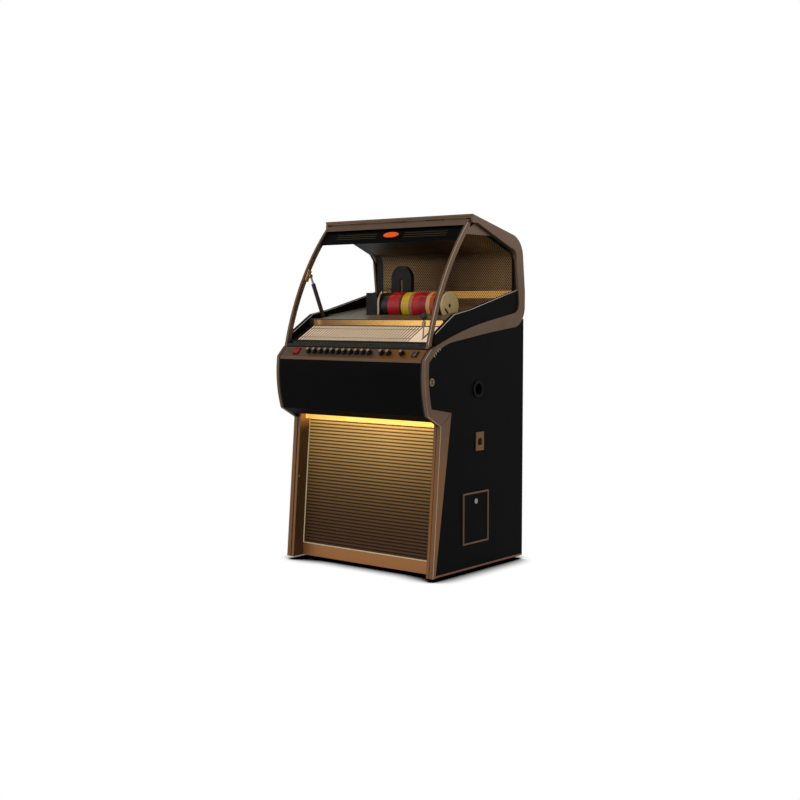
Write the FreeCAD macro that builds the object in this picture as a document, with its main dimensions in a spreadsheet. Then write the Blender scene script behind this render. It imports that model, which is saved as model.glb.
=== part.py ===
import FreeCAD, Part
import math
import os
import Sketcher
from FreeCAD import Placement, Rotation, Vector

# A floor-standing disc jukebox. Millimetres; +Z up, front towards -Y, right side towards +X.
# The origin is on the floor, under the middle of the cabinet.
# Heights are above the cabinet's underside, and reaches are behind its lower front edge.
SIZES = {
    # whole cabinet
    "width": 800, "depth": 711, "height": 1474, "foot_height": 15, "board": 18, "trim_width": 20,
    "panel_setback": 6, "cut_overrun": 20, "slip": 0.5, "running_gap": 0.05, "soft_gap": 0.3,
    # side outline below the window
    "nose_radius": 490, "panel_run": 40, "sill_radius": 2000, "band_turn_radius": 282,
    "strip_foot": 16,
    # window frame
    "rear_low_radius": 90, "rear_top_radius": 100, "light_roof_radius": 46, "light_foot_radius": 44,
    "panel_rear_gap": 1, "gusset_thickness": 6,
    # lower window board and pane
    "pane": 4, "pane_lap": 9,
    # roof cap and lid hinge
    "cap": 15, "cap_groove_drop": 8, "frame_front_drop": 35, "cap_groove": 3, "roof_sheet": 6,
    "hinge_drop": 10, "knuckle_radius": 6.5, "hinge_pin_radius": 3, "hinge_tab": 4,
    "hinge_end_gap": 10, "ear_gap": 2,
    # lid
    "lid_side_gap": 12, "lid_post": 12, "lid_depth": 22, "lid_radius": 1150, "lid_foot_gap": 3,
    "lid_top_drop": 10, "lid_lip": 14, "lid_lip_gap": 1, "lid_rail": 10, "glass_setback": 3,
    "glass": 5, "header_height": 62, "header": 3,
    # gas strut
    "strut_gap": 14, "strut_head_setback": 20.4208, "strut_radius": 9, "strut_rod_radius": 4.5,
    "strut_tube_share": 0.86089, "strut_rod_share": 0.82263, "strut_eye_radius": 8, "strut_eye": 8,
    "strut_pin_radius": 4,
    # console
    "console_wall": 12, "console_floor_gap": 4, "floor_rise": 20, "panel_sheet": 5,
    "panel_rear": 12, "knob_radius": 12.5, "knob_skirt": 9, "knob_cap_radius": 9, "knob_cap": 6,
    "knob_shaft_radius": 3, "knob_shaft": 16, "knob_travel": 4, "knob_row_count": 11,
    "rocker_width": 22, "rocker_length": 28, "rocker_depth": 11, "rocker_proud": 5,
    "rocker_pin_radius": 1.25, "rocker_pin": 28, "rocker_clearance": 1.2, "jack_width": 28,
    "jack_length": 30, "jack_plate": 3, "jack_radius": 5, "jack_bore": 3.2, "jack_spread": 13,
    "jack_barrel": 14,
    # title display
    "display": 5, "display_reach": 3, "display_tall": 28, "rack_front_drop": 7, "rack_sheet": 6,
    "strip_thickness": 2, "strip_count": 38, "strip_gap_share": 0.42, "strip_break": 3,
    "front_break_share": 0.2, "rear_break_share": 0.8, "lever_slot": 9, "lever_pin_radius": 3,
    "lever_pin": 26, "lever_stem_radius": 3, "lever_stem": 100, "lever_ball_radius": 15,
    "lever_ear": 5, "lever_ear_width": 14, "lever_lean": 5,
    # deck and mechanism
    "deck_sheet": 3, "deck_lip": 34, "deck_well_half": 74, "deck_well_left": -182,
    "deck_well_right": 252, "strut_notch": 40, "shelf": 15, "disc_radius": 60,
    "disc_hole_radius": 7.5, "disc_thickness": 3.9, "disc_pitch": 4.2, "disc_count": 77,
    "disc_left": -92.4, "rack_wall_half": 68, "rack_left": -108, "rack_right": 246,
    "rack_hollow_half": 40, "cheek": 6, "cheek_hole_radius": 10, "cheek_slot": 12,
    "cheek_slot_length": 36, "cheek_slot_reach": 32, "arch_radius": 67, "arch_wall": 4.2,
    "arch_rise": 11, "arch_width": 10, "arch_left": -105, "player_left": -173, "player_right": -112,
    "player_half_depth": 60, "spindle_radius": 5, "spindle_shaft": 24, "spindle_hub_radius": 18,
    "spindle_hub": 7, "spindle_gap": 2, "tower_left": -153, "tower_right": -43, "tower_gap": 90,
    "tower_depth": 22, "tower_slot_width": 16, "tower_slot_depth": 8,
    # mesh back wall
    "wall_sheet": 3, "wall_bend_radius": 50,
    # lower front
    "post_width": 13, "post_setback": 2, "recess": 61, "grille": 8, "grille_ribs": 39,
    "grille_rib_depth": 3, "kick_front": 64, "kick_depth": 30, "kick_height": 52, "light_depth": 20,
    "light_height": 26, "light_gap": 8, "light_end_gap": 1, "woofer_rim": 18,
    "woofer_place_share": 0.468085, "woofer_radius_share": 0.414894, "woofer_flange": 8,
    "woofer_back_radius": 62, "woofer_basket": 90, "woofer_wall": 6, "magnet_radius": 78,
    "magnet": 36,
    # rear and inside
    "rear_vent_count": 8, "rear_vent_pitch": 26, "rear_vent_width": 300, "rear_vent": 10,
    "amplifier_width": 320, "amplifier_depth": 170, "amplifier_height": 100, "amplifier_sheet": 3,
    "transformer_width": 110, "transformer_depth": 100, "transformer_height": 70,
    "transformer_inset": 30, "inlet_width": 48, "inlet_height": 28, "inlet_low": 40,
    "inlet_pocket": 14, "inlet_wall": 4, "foot_radius": 20, "foot_inset": 60, "foot_pad": 11,
    "foot_stem_radius": 6,
    # side fittings
    "coin_radius": 35, "coin_flange": 5, "coin_bore_radius": 24, "coin_tube_radius": 28,
    "coin_tube": 40, "coin_slot": 4, "coin_slot_height": 28, "return_width": 55, "return_tall": 77,
    "return_plate": 4, "return_mouth": 30, "return_cup": 3, "return_depth": 46, "cash_width": 181,
    "cash_tall": 214, "cash_line": 7, "cash_frame": 5, "cash_wall": 2, "cash_depth": 120,
    "door_gap": 1.5, "door": 7, "door_setback": 3, "door_pin_inset": 5, "door_pin_radius": 1.6,
    "door_pin": 5, "lock_radius": 9, "lock_head_radius": 11, "lock_head": 3, "lock_cam": 4,
    "lock_cam_width": 12, "lock_cam_length": 26, "lock_tail": 5, "lock_key_slot": 2.5,
    "lock_key_depth": 1.5, "side_lock_radius": 11, "side_lock_head_radius": 14,
}
# Heights above the underside, as shares of the height above the feet.
HEIGHT_SHARES = {
    "knee_height_share": 0.414668, "chin_height_share": 0.446196, "brow_height_share": 0.59904,
    "sill_seam_height_share": 0.699794, "band_seam_height_share": 0.666895,
    "band_turn_height_share": 0.646333, "nose_band_top_share": 0.590816,
    "nose_band_foot_share": 0.465387, "wedge_height_share": 0.450308,
    "rear_low_height_share": 0.74366, "rear_bend_height_share": 0.788211,
    "rear_top_height_share": 0.88828, "roof_bend_height_share": 0.951337,
    "light_roof_height_share": 0.912954, "light_rear_height_share": 0.88074,
    "light_foot_height_share": 0.753941, "light_sill_height_share": 0.723783,
    "gusset_height_share": 0.943797, "apron_front_high_share": 0.667581,
    "apron_rise_height_share": 0.719671, "apron_bend_height_share": 0.733379,
    "apron_rear_height_share": 0.790953, "skin_low_share": 0.708705,
    "strut_foot_height_share": 0.670322, "strut_head_height_share": 0.833448,
    "rack_rear_height_share": 0.686086, "lever_pivot_height_share": 0.641535,
    "deck_front_height_share": 0.705963, "deck_rear_height_share": 0.749143,
    "shelf_height_share": 0.644277, "drum_height_share": 0.744345,
    "rack_rail_height_share": 0.719671, "rack_hollow_height_share": 0.688828,
    "player_top_share": 0.784099, "tower_top_share": 0.865661, "tower_slot_low_share": 0.767649,
    "tower_slot_high_share": 0.825908, "wall_foot_share": 0.740233,
    "wall_bend_height_share": 0.873886, "wall_top_height_share": 0.9061,
    "wall_front_height_share": 0.966415, "woofer_height_share": 0.226182,
    "rear_vent_low_share": 0.424949, "coin_height_share": 0.509938, "return_height_share": 0.361206,
    "return_mouth_low_share": 0.35024, "cash_height_share": 0.145305,
    "door_lock_height_share": 0.191912, "side_lock_height_share": 0.53804,
}
# Reaches behind the lower front edge, as shares of the depth.
REACH_SHARES = {
    "nose_overhang_share": 0.082841, "lean_share": 0.07173, "chin_reach_share": 0.04782,
    "brow_reach_share": 0.075949, "seam_reach_share": 0.513361, "band_turn_reach_share": 0.201125,
    "nose_band_share": 0.037975, "nose_band_foot_reach_share": 0.015471,
    "wedge_reach_share": 0.170183, "rear_top_reach_share": 0.894515,
    "roof_bend_reach_share": 0.783404, "frame_front_share": 0.421941,
    "light_roof_reach_share": 0.766526, "light_rear_reach_share": 0.827004,
    "light_foot_reach_share": 0.855134, "light_sill_reach_share": 0.80872,
    "gusset_rear_share": 0.604782, "apron_front_share": 0.030942,
    "apron_rise_reach_share": 0.203938, "apron_bend_reach_share": 0.361463,
    "cap_front_share": 0.368495, "hinge_reach_share": 0.376934, "lid_foot_reach_share": 0.028129,
    "lid_top_reach_share": 0.345992, "strut_foot_reach_share": 0.320675,
    "rack_rear_reach_share": 0.175809, "strip_front_share": 0.025316, "strip_rear_share": 0.170183,
    "lever_slot_front_share": 0.04782, "lever_slot_rear_share": 0.116737,
    "lever_pivot_reach_share": 0.056259, "deck_rear_reach_share": 0.829817,
    "strut_notch_front_share": 0.194093, "strut_notch_rear_share": 0.351617,
    "shelf_front_share": 0.337553, "drum_reach_share": 0.464135, "wall_reach_share": 0.829817,
    "wall_top_reach_share": 0.759494, "wall_front_share": 0.436006, "coin_reach_share": 0.437412,
    "return_reach_share": 0.455696, "cash_reach_share": 0.417018,
    "side_lock_reach_share": -0.004219,
}
# Places and pitches across the cabinet, as shares of the width.
ACROSS_SHARES = {
    "knob_row_start_share": -0.28625, "knob_pitch_share": 0.0415, "knob_pair_left_share": 0.21,
    "knob_pair_right_share": 0.254375, "knob_single_share": 0.34, "rocker_place_share": -0.37625,
    "jack_place_share": 0.42125, "strip_pitch_share": 0.019836, "strip_left_share": -0.43125,
    "card_right_share": 0.445, "lever_place_share": 0.395,
}

doc = FreeCAD.newDocument("jukebox")
sheet = doc.addObject("Spreadsheet::Sheet", "dims")
nodes = []


# A length that knows its number and the sheet expression that it came from.
class Size:
    def __init__(self, number, text):
        self.number = float(number)
        self.text = text

    def join(self, other, sign, number):
        return Size(number, "(%s %s %s)" % (self.text, sign, wrap(other).text))

    def __add__(self, other):
        return self.join(other, "+", self.number + wrap(other).number)

    def __sub__(self, other):
        return self.join(other, "-", self.number - wrap(other).number)

    def __mul__(self, other):
        return self.join(other, "*", self.number * wrap(other).number)

    def __truediv__(self, other):
        return self.join(other, "/", self.number / wrap(other).number)

    def __rsub__(self, other):
        return wrap(other) - self

    def __neg__(self):
        return Size(-self.number, "(0 - %s)" % self.text)

    def call(self, function, number):
        return Size(number, "%s(%s)" % (function, self.text))


def wrap(value):
    return value if isinstance(value, Size) else Size(value, repr(value))


def root(value):
    return value.call("sqrt", math.sqrt(value.number))


class Named:
    pass


S = Named()
rows = [(alias, str(number), number) for alias, number in SIZES.items()]
for shares, formula, whole in (
        (HEIGHT_SHARES, "=%s * (height - foot_height)", SIZES["height"] - SIZES["foot_height"]),
        (REACH_SHARES, "=%s * depth", SIZES["depth"]),
        (ACROSS_SHARES, "=%s * width", SIZES["width"])):
    for name, share in shares.items():
        rows.append((name.removesuffix("_share"), formula % share, share * whole))
for row, (alias, content, number) in enumerate(rows, start=1):
    sheet.set("A%d" % row, alias)
    sheet.set("B%d" % row, content)
    sheet.setAlias("B%d" % row, alias)
    setattr(S, alias, Size(number, "dims." + alias))
doc.recompute()

ZERO = wrap(0)
ORIGIN = (ZERO, ZERO, ZERO)
half = S.width / 2
trim_in = half - S.trim_width
panel_out = half - S.panel_setback
panel_in = panel_out - S.board
base_front = S.nose_overhang - S.depth / 2
rear_reach = S.depth - S.nose_overhang
top_height = S.height - S.foot_height

# Places that keep a fixed distance from a neighbour
S.lid_half_width = half - S.lid_side_gap
S.strut_plane = S.lid_half_width - S.lid_post - S.strut_gap
S.hinge_half_length = S.lid_half_width - S.lid_post - S.hinge_end_gap
S.woofer_place = panel_in * S.woofer_place_share
S.woofer_radius = panel_in * S.woofer_radius_share
S.baffle_hole_radius = S.woofer_radius - S.woofer_rim
S.cap_low = top_height - S.cap
S.cap_groove_height = top_height - S.cap_groove_drop
S.frame_front_low = top_height - S.frame_front_drop
S.hinge_height = S.cap_low - S.hinge_drop
S.lid_top_height = S.hinge_height - S.lid_top_drop
panel_back_reach = S.panel_run - S.brow_reach
panel_back_height = S.brow_height + S.panel_run
S.lid_foot_height = panel_back_height + S.lid_foot_gap
S.display_height = panel_back_height + S.display_tall
S.rack_front_height = S.display_height - S.rack_front_drop
S.console_floor_rear = S.lean + S.recess - S.console_floor_gap
S.light_front = S.lean + S.recess - S.light_gap - S.light_depth
S.deck_well_front = S.drum_reach - S.deck_well_half
S.deck_well_rear = S.drum_reach + S.deck_well_half
S.player_front = S.drum_reach - S.player_half_depth
S.player_rear = S.drum_reach + S.player_half_depth
S.tower_front = S.drum_reach + S.tower_gap


# A point of the side outline, from its reach behind the lower front edge and its height.
def side(reach, height):
    return base_front + reach, S.foot_height + height


def bind(thing, prop, size):
    thing.setExpression(prop, wrap(size).text)


def place(thing, point, axis=None, angle=None):
    if axis is not None:
        thing.Placement = Placement(Vector(0, 0, 0), Rotation(axis, wrap(angle).number))
        bind(thing, "Placement.Rotation.Angle", angle)
    for letter, size in zip("xyz", point):
        bind(thing, "Placement.Base." + letter, size)
    return thing


def node(thing, label):
    thing.Label = label
    nodes.append(thing)
    return thing


def box(low, lengths):
    thing = doc.addObject("Part::Box", "box")
    for prop, size in zip(("Length", "Width", "Height"), lengths):
        bind(thing, prop, size)
    return place(thing, low)


def rod(radius, length, point, axis=None, angle=90):
    thing = doc.addObject("Part::Cylinder", "rod")
    bind(thing, "Radius", radius)
    bind(thing, "Height", length)
    return place(thing, point, axis, angle)


ALONG_X = Vector(0, 1, 0)
ALONG_BACK = Vector(-1, 0, 0)
ABOUT_X = Vector(1, 0, 0)


def cut(base, tools):
    thing = doc.addObject("Part::Cut", "cut")
    thing.Base = base
    thing.Tool = tools[0] if len(tools) == 1 else group(tools)
    return thing


def fuse(shapes):
    thing = doc.addObject("Part::MultiFuse", "fuse")
    thing.Shapes = shapes
    thing.Refine = True
    return thing


def group(shapes):
    thing = doc.addObject("Part::Compound", "group")
    thing.Links = shapes
    return thing


def mirrored(source):
    thing = doc.addObject("Part::Mirroring", "mirrored")
    thing.Source = source
    thing.Base = Vector(0, 0, 0)
    thing.Normal = Vector(1, 0, 0)
    return thing


# The arc of a given radius from one point to the next; turn is +1 with its centre on the left.
def arc_between(start, end, radius, turn):
    chord = end - start
    reach = math.sqrt(max(radius ** 2 - (chord.Length / 2) ** 2, 0))
    left = Vector(-chord.y, chord.x, 0)
    left.normalize()
    centre = (start + end) / 2 + left * (reach * turn)
    first, last = (start, end) if turn > 0 else (end, start)
    begin = math.atan2(first.y - centre.y, first.x - centre.x)
    finish = math.atan2(last.y - centre.y, last.x - centre.x)
    if finish < begin:
        finish += 2 * math.pi
    return Part.ArcOfCircle(Part.Circle(centre, Vector(0, 0, 1), radius), begin, finish)


# A closed sketch whose corners, and the radii of whose arcs, follow the sheet.
# A corner is (across, up), or (across, up, radius, turn) where an arc arrives there.
def draw(sketch, corners):
    count = len(corners)
    points = [Vector(corner[0].number, corner[1].number, 0) for corner in corners]
    ends = []
    for index in range(count):
        arriving = corners[(index + 1) % count]
        start, end = points[index], points[(index + 1) % count]
        if len(arriving) == 2:
            sketch.addGeometry(Part.LineSegment(start, end))
            ends.append((1, 2))
        else:
            sketch.addGeometry(arc_between(start, end, arriving[2].number, arriving[3]))
            ends.append((1, 2) if arriving[3] > 0 else (2, 1))
    for index in range(count):
        following = (index + 1) % count
        sketch.addConstraint(Sketcher.Constraint(
            "Coincident", index, ends[index][1], following, ends[following][0]))
    for index, corner in enumerate(corners):
        for kind, axis, size in (("DistanceX", -2, corner[0]), ("DistanceY", -1, corner[1])):
            if size.number == 0:
                sketch.addConstraint(Sketcher.Constraint("PointOnObject", index, ends[index][0], axis))
                continue
            number = sketch.addConstraint(Sketcher.Constraint(
                kind, -1, 1, index, ends[index][0], size.number))
            sketch.setExpression("Constraints[%d]" % number, size.text)
    for index in range(count):
        arriving = corners[(index + 1) % count]
        if len(arriving) == 4:
            number = sketch.addConstraint(Sketcher.Constraint("Radius", index, arriving[2].number))
            sketch.setExpression("Constraints[%d]" % number, arriving[2].text)


def sketch_on(body, role, corners, offset=ZERO):
    plane = [part for part in body.Origin.OriginFeatures if part.Role == role][0]
    sketch = body.newObject("Sketcher::SketchObject", "outline")
    sketch.AttachmentSupport = [(plane, "")]
    sketch.MapMode = "FlatFace"
    bind(sketch, "AttachmentOffset.Base.z", offset)
    draw(sketch, corners)
    return sketch


# A body made by pushing an outline straight out of one of the main planes.
def extrusion(role, corners, offset, length):
    body = doc.addObject("PartDesign::Body", "body")
    pad = body.newObject("PartDesign::Pad", "pad")
    pad.Profile = sketch_on(body, role, corners, offset)
    bind(pad, "Length", length)
    body.Tip = pad
    return body


# A body across the cabinet, from a side outline.
def across(corners, half_width):
    return extrusion("YZ_Plane", corners, -half_width, half_width * 2)


# A body on the right-hand side, from a side outline.
def on_right(corners, inner, outer):
    return extrusion("YZ_Plane", corners, inner, outer - inner)


# A body of revolution about its own Z axis, from a half outline of (radius, height) corners.
def turned(corners):
    body = doc.addObject("PartDesign::Body", "body")
    sketch = sketch_on(body, "XZ_Plane", corners)
    spin = body.newObject("PartDesign::Revolution", "spin")
    spin.Profile = sketch
    spin.ReferenceAxis = (sketch, ["V_Axis"])
    spin.Angle = 360
    body.Tip = spin
    return body


# The reach of the leaning lower front at a height.
def leaning(height):
    return S.lean * height / S.knee_height


# Side outline corners that neighbouring pieces share
base_corner = side(ZERO, ZERO)
knee = side(S.lean, S.knee_height)
chin = side(-S.chin_reach, S.chin_height)
# The console's floor lies a little above the knee, where it meets the slope from the chin.
floor_height = S.knee_height + S.floor_rise
floor_front = S.lean - S.floor_rise * (S.lean + S.chin_reach) / (S.chin_height - S.knee_height)
brow = side(-S.brow_reach, S.brow_height)
panel_back = side(panel_back_reach, panel_back_height)
sill_seam = side(S.seam_reach, S.sill_seam_height)
band_seam = side(S.seam_reach, S.band_seam_height)
band_turn = side(S.band_turn_reach, S.band_turn_height)
nose_in_top = side(-S.nose_band, S.nose_band_top)
nose_in_foot = side(-S.nose_band_foot_reach, S.nose_band_foot)
wedge = side(S.wedge_reach, S.wedge_height)
strip_foot = side(S.strip_foot, ZERO)
rear_corner = side(rear_reach - S.rear_low_radius, S.rear_low_height - S.rear_low_radius)
LEFT, RIGHT = 1, -1


def arc_to(point, radius, turn):
    return point + (radius, turn)


# The height of the sill's long arc at a reach.
def sill_height(reach):
    run = S.seam_reach - panel_back_reach
    rise = S.sill_seam_height - panel_back_height
    chord = root(run * run + rise * rise)
    span_share = root(S.sill_radius * S.sill_radius - chord * chord / 4) / chord
    centre_reach = (S.seam_reach + panel_back_reach) / 2 + rise * span_share
    centre_height = (S.sill_seam_height + panel_back_height) / 2 - run * span_share
    away = reach - centre_reach
    return centre_height + root(S.sill_radius * S.sill_radius - away * away)


# Bronze side trims: lower strip, nose band and sill, with the strut's lower pin on the left one
def side_trims():
    outline = [
        base_corner, strip_foot, wedge, nose_in_foot, arc_to(nose_in_top, S.nose_radius, RIGHT),
        arc_to(band_turn, S.band_turn_radius, RIGHT), band_seam, sill_seam,
        arc_to(panel_back, S.sill_radius, LEFT), brow, arc_to(chin, S.nose_radius, LEFT), knee]
    right = on_right(outline, trim_in, half)
    pin_end = S.strut_plane - S.strut_eye / 2
    pin_y, pin_z = side(S.strut_foot_reach, S.strut_foot_height)
    pin = rod(S.strut_pin_radius, trim_in - pin_end, (-trim_in, pin_y, pin_z), ALONG_X)
    node(group([right, fuse([mirrored(right), pin])]), "side_trims")


# The frame's lower rear corner, a quarter circle; the panel's tip stops part of the way round it.
tip_across_share, tip_down_share = 0.8, 0.6
tip = side(rear_reach - S.rear_low_radius * (1 - tip_across_share),
           S.rear_low_height - S.rear_low_radius * tip_down_share)
rear_edge = rear_reach - S.panel_rear_gap


def side_panel_board():
    tip_height = S.rear_low_height - S.rear_low_radius * tip_down_share
    outline = [
        strip_foot, side(rear_edge, ZERO), side(rear_edge, tip_height), tip,
        arc_to(rear_corner, S.rear_low_radius, RIGHT), band_seam, band_turn,
        arc_to(nose_in_top, S.band_turn_radius, LEFT), arc_to(nose_in_foot, S.nose_radius, LEFT), wedge]
    return on_right(outline, panel_in, panel_out)


# A square-ended hole through the right-hand side board.
def side_opening(reach, height, wide, tall):
    low_y, low_z = side(reach - wide / 2, height - tall / 2)
    return box((panel_in - S.cut_overrun, low_y, low_z), (S.board + S.cut_overrun * 2, wide, tall))


def side_hole(radius, reach, height):
    y, z = side(reach, height)
    return rod(radius, S.board + S.cut_overrun * 2, (panel_in - S.cut_overrun, y, z), ALONG_X)


def side_panels():
    node(mirrored(side_panel_board()), "left_side_panel")
    cup = S.return_mouth + S.return_cup * 2
    openings = [
        side_hole(S.coin_tube_radius, S.coin_reach, S.coin_height),
        side_hole(S.side_lock_radius + S.running_gap, S.side_lock_reach, S.side_lock_height),
        side_opening(S.return_reach, S.return_mouth_low + S.return_mouth / 2, cup, cup),
        side_opening(S.cash_reach, S.cash_height, S.cash_width - S.cash_line * 2 + S.cash_wall * 2,
                     S.cash_tall - S.cash_line * 2 + S.cash_wall * 2)]
    node(cut(side_panel_board(), openings), "right_side_panel")


# The roof line runs straight from the cap's front edge to the rear bend.
def roof_height(reach):
    slope = (top_height - S.roof_bend_height) / (S.roof_bend_reach - S.cap_front)
    return top_height - slope * (reach - S.cap_front)


light_front_low = side(S.frame_front, S.frame_front_low)
light_roof = side(S.light_roof_reach, S.light_roof_height)
light_rear = side(S.light_rear_reach, S.light_rear_height)
light_foot = side(S.light_foot_reach, S.light_foot_height)
light_sill = side(S.light_sill_reach, S.light_sill_height)
rear_low = side(rear_reach, S.rear_low_height)
rear_bend = side(rear_reach, S.rear_bend_height)
rear_top = side(S.rear_top_reach, S.rear_top_height)
roof_bend = side(S.roof_bend_reach, S.roof_bend_height)


# The lid's front arc, moved inwards by a setback, from its foot to its top.
# Its slope at either end follows from the chord and the radius.
lid_rise = S.lid_top_height - S.lid_foot_height
lid_run = S.lid_top_reach + S.lid_foot_reach
lid_chord = root(lid_rise * lid_rise + lid_run * lid_run)
lid_centre_share = root(S.lid_radius * S.lid_radius - lid_chord * lid_chord / 4) / lid_chord
lid_centre_reach = (S.lid_top_reach - S.lid_foot_reach) / 2 + lid_rise * lid_centre_share
lid_centre_height = (S.lid_top_height + S.lid_foot_height) / 2 - lid_run * lid_centre_share


def lid_reach(height, setback):
    radius = S.lid_radius - setback
    drop = height - lid_centre_height
    return lid_centre_reach - root(radius * radius - drop * drop)


def lid_point(height, setback):
    return side(lid_reach(height, setback), height)


S.strut_head_reach = lid_reach(S.strut_head_height, S.strut_head_setback)


def window_frames():
    frame_front_top = side(S.frame_front, roof_height(S.frame_front))
    outline = [
        band_seam, rear_corner, arc_to(rear_low, S.rear_low_radius, LEFT), rear_bend, rear_top,
        arc_to(roof_bend, S.rear_top_radius, LEFT), frame_front_top, light_front_low, light_roof,
        arc_to(light_rear, S.light_roof_radius, RIGHT), light_foot,
        arc_to(light_sill, S.light_foot_radius, RIGHT), sill_seam]
    band = on_right(outline, trim_in, half)
    behind_lid = S.lid_depth + S.slip * 3
    gusset_top = S.frame_front_low - S.lid_rail * 2
    gusset = on_right([
        lid_point(S.gusset_height, behind_lid), side(S.gusset_rear, S.gusset_height),
        side(S.frame_front + S.trim_width, S.frame_front_low), light_front_low,
        lid_point(gusset_top, behind_lid)], trim_in, trim_in + S.gusset_thickness)
    ear = on_right([
        side(S.cap_front, S.cap_low), side(S.cap_front, S.frame_front_low),
        side(S.frame_front, S.frame_front_low), side(S.frame_front, S.cap_low)],
        S.lid_half_width + S.ear_gap, half)
    right = fuse([band, ear, gusset])
    node(group([right, mirrored(right)]), "window_frames")


apron_rise = side(S.apron_rise_reach, S.apron_rise_height)
apron_bend = side(S.apron_bend_reach, S.apron_bend_height)
# The apron's top edge ends on the frame's slightly slanting rear edge.
apron_rear_reach = S.light_foot_reach - (S.light_foot_reach - S.light_rear_reach) * (
    S.apron_rear_height - S.light_foot_height) / (S.light_rear_height - S.light_foot_height)
apron_rear = side(apron_rear_reach, S.apron_rear_height)


# Black boards that close the lower part of each window, standing on the sill
def window_aprons():
    behind_lid = S.lid_depth + S.slip * 3
    front_low = sill_height(S.apron_front)
    outline = [
        side(S.apron_front, front_low), arc_to(sill_seam, S.sill_radius, RIGHT), light_sill,
        arc_to(light_foot, S.light_foot_radius, LEFT), apron_rear, apron_bend, apron_rise,
        lid_point(S.apron_front_high, behind_lid), lid_point(front_low + S.lid_rail, behind_lid)]
    right = on_right(outline, panel_in, panel_out)
    node(group([right, mirrored(right)]), "window_aprons")


def side_windows():
    behind_lid = S.lid_depth + S.slip * 3
    lap = S.pane_lap
    outline = [
        apron_rise, apron_bend, apron_rear,
        side(apron_rear_reach + lap, S.apron_rear_height),
        side(S.light_rear_reach + lap, S.light_rear_height),
        side(S.light_roof_reach + lap, S.light_roof_height + lap),
        side(S.frame_front + lap, S.frame_front_low), side(S.frame_front, S.frame_front_low - lap),
        lid_point(S.gusset_height, behind_lid),
        arc_to(lid_point(S.apron_front_high, behind_lid), S.lid_radius - behind_lid, LEFT)]
    right = on_right(outline, panel_in, panel_in + S.pane)
    node(group([right, mirrored(right)]), "side_windows")


# Roof cap: front rail across the whole width, and a bent sheet over the roof and down the back
def roof_cap():
    groove_low = S.cap_groove_height - S.cap_groove
    rail_rear = S.frame_front
    rail = across([
        side(S.cap_front, top_height), side(S.cap_front, S.cap_groove_height),
        side(S.cap_front + S.cap_groove, S.cap_groove_height), side(S.cap_front + S.cap_groove, groove_low),
        side(S.cap_front, groove_low), side(S.cap_front, S.cap_low), side(rail_rear, S.cap_low),
        side(rail_rear, roof_height(rail_rear))], half)
    thin = S.roof_sheet
    skin = across([
        side(rail_rear, roof_height(rail_rear)), roof_bend, arc_to(rear_top, S.rear_top_radius, RIGHT),
        rear_bend, side(rear_reach, S.skin_low), side(rear_reach - thin, S.skin_low),
        side(rear_reach - thin, S.rear_bend_height), side(S.rear_top_reach - thin, S.rear_top_height),
        arc_to(side(S.roof_bend_reach, S.roof_bend_height - thin), S.rear_top_radius - thin, LEFT),
        side(rail_rear, roof_height(rail_rear) - thin)], trim_in)
    node(fuse([rail, skin]), "roof_cap")


# Hinge knuckles along the top of the lid; even ones belong to the cap, odd ones to the lid.
KNUCKLES = 7
knuckle_pitch = S.hinge_half_length * 2 / KNUCKLES
knuckle_length = knuckle_pitch - S.slip
hinge_y, hinge_z = side(S.hinge_reach, S.hinge_height)


def knuckles(first, radius, length):
    shapes = []
    for index in range(first, KNUCKLES, 2):
        left = knuckle_pitch * index - S.hinge_half_length
        shapes.append((left, rod(radius, length, (left, hinge_y, hinge_z), ALONG_X)))
    return shapes


def lid_hinge():
    half_length = S.hinge_half_length
    solids = [rod(S.hinge_pin_radius, half_length * 2, (-half_length, hinge_y, hinge_z), ALONG_X)]
    for left, barrel in knuckles(0, S.knuckle_radius, knuckle_length):
        solids.append(barrel)
        tab_z = S.foot_height + S.hinge_height
        solids.append(box((left, hinge_y, tab_z), (knuckle_length, S.hinge_tab, S.cap_low - S.hinge_height)))
    node(fuse(solids), "lid_hinge")


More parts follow.
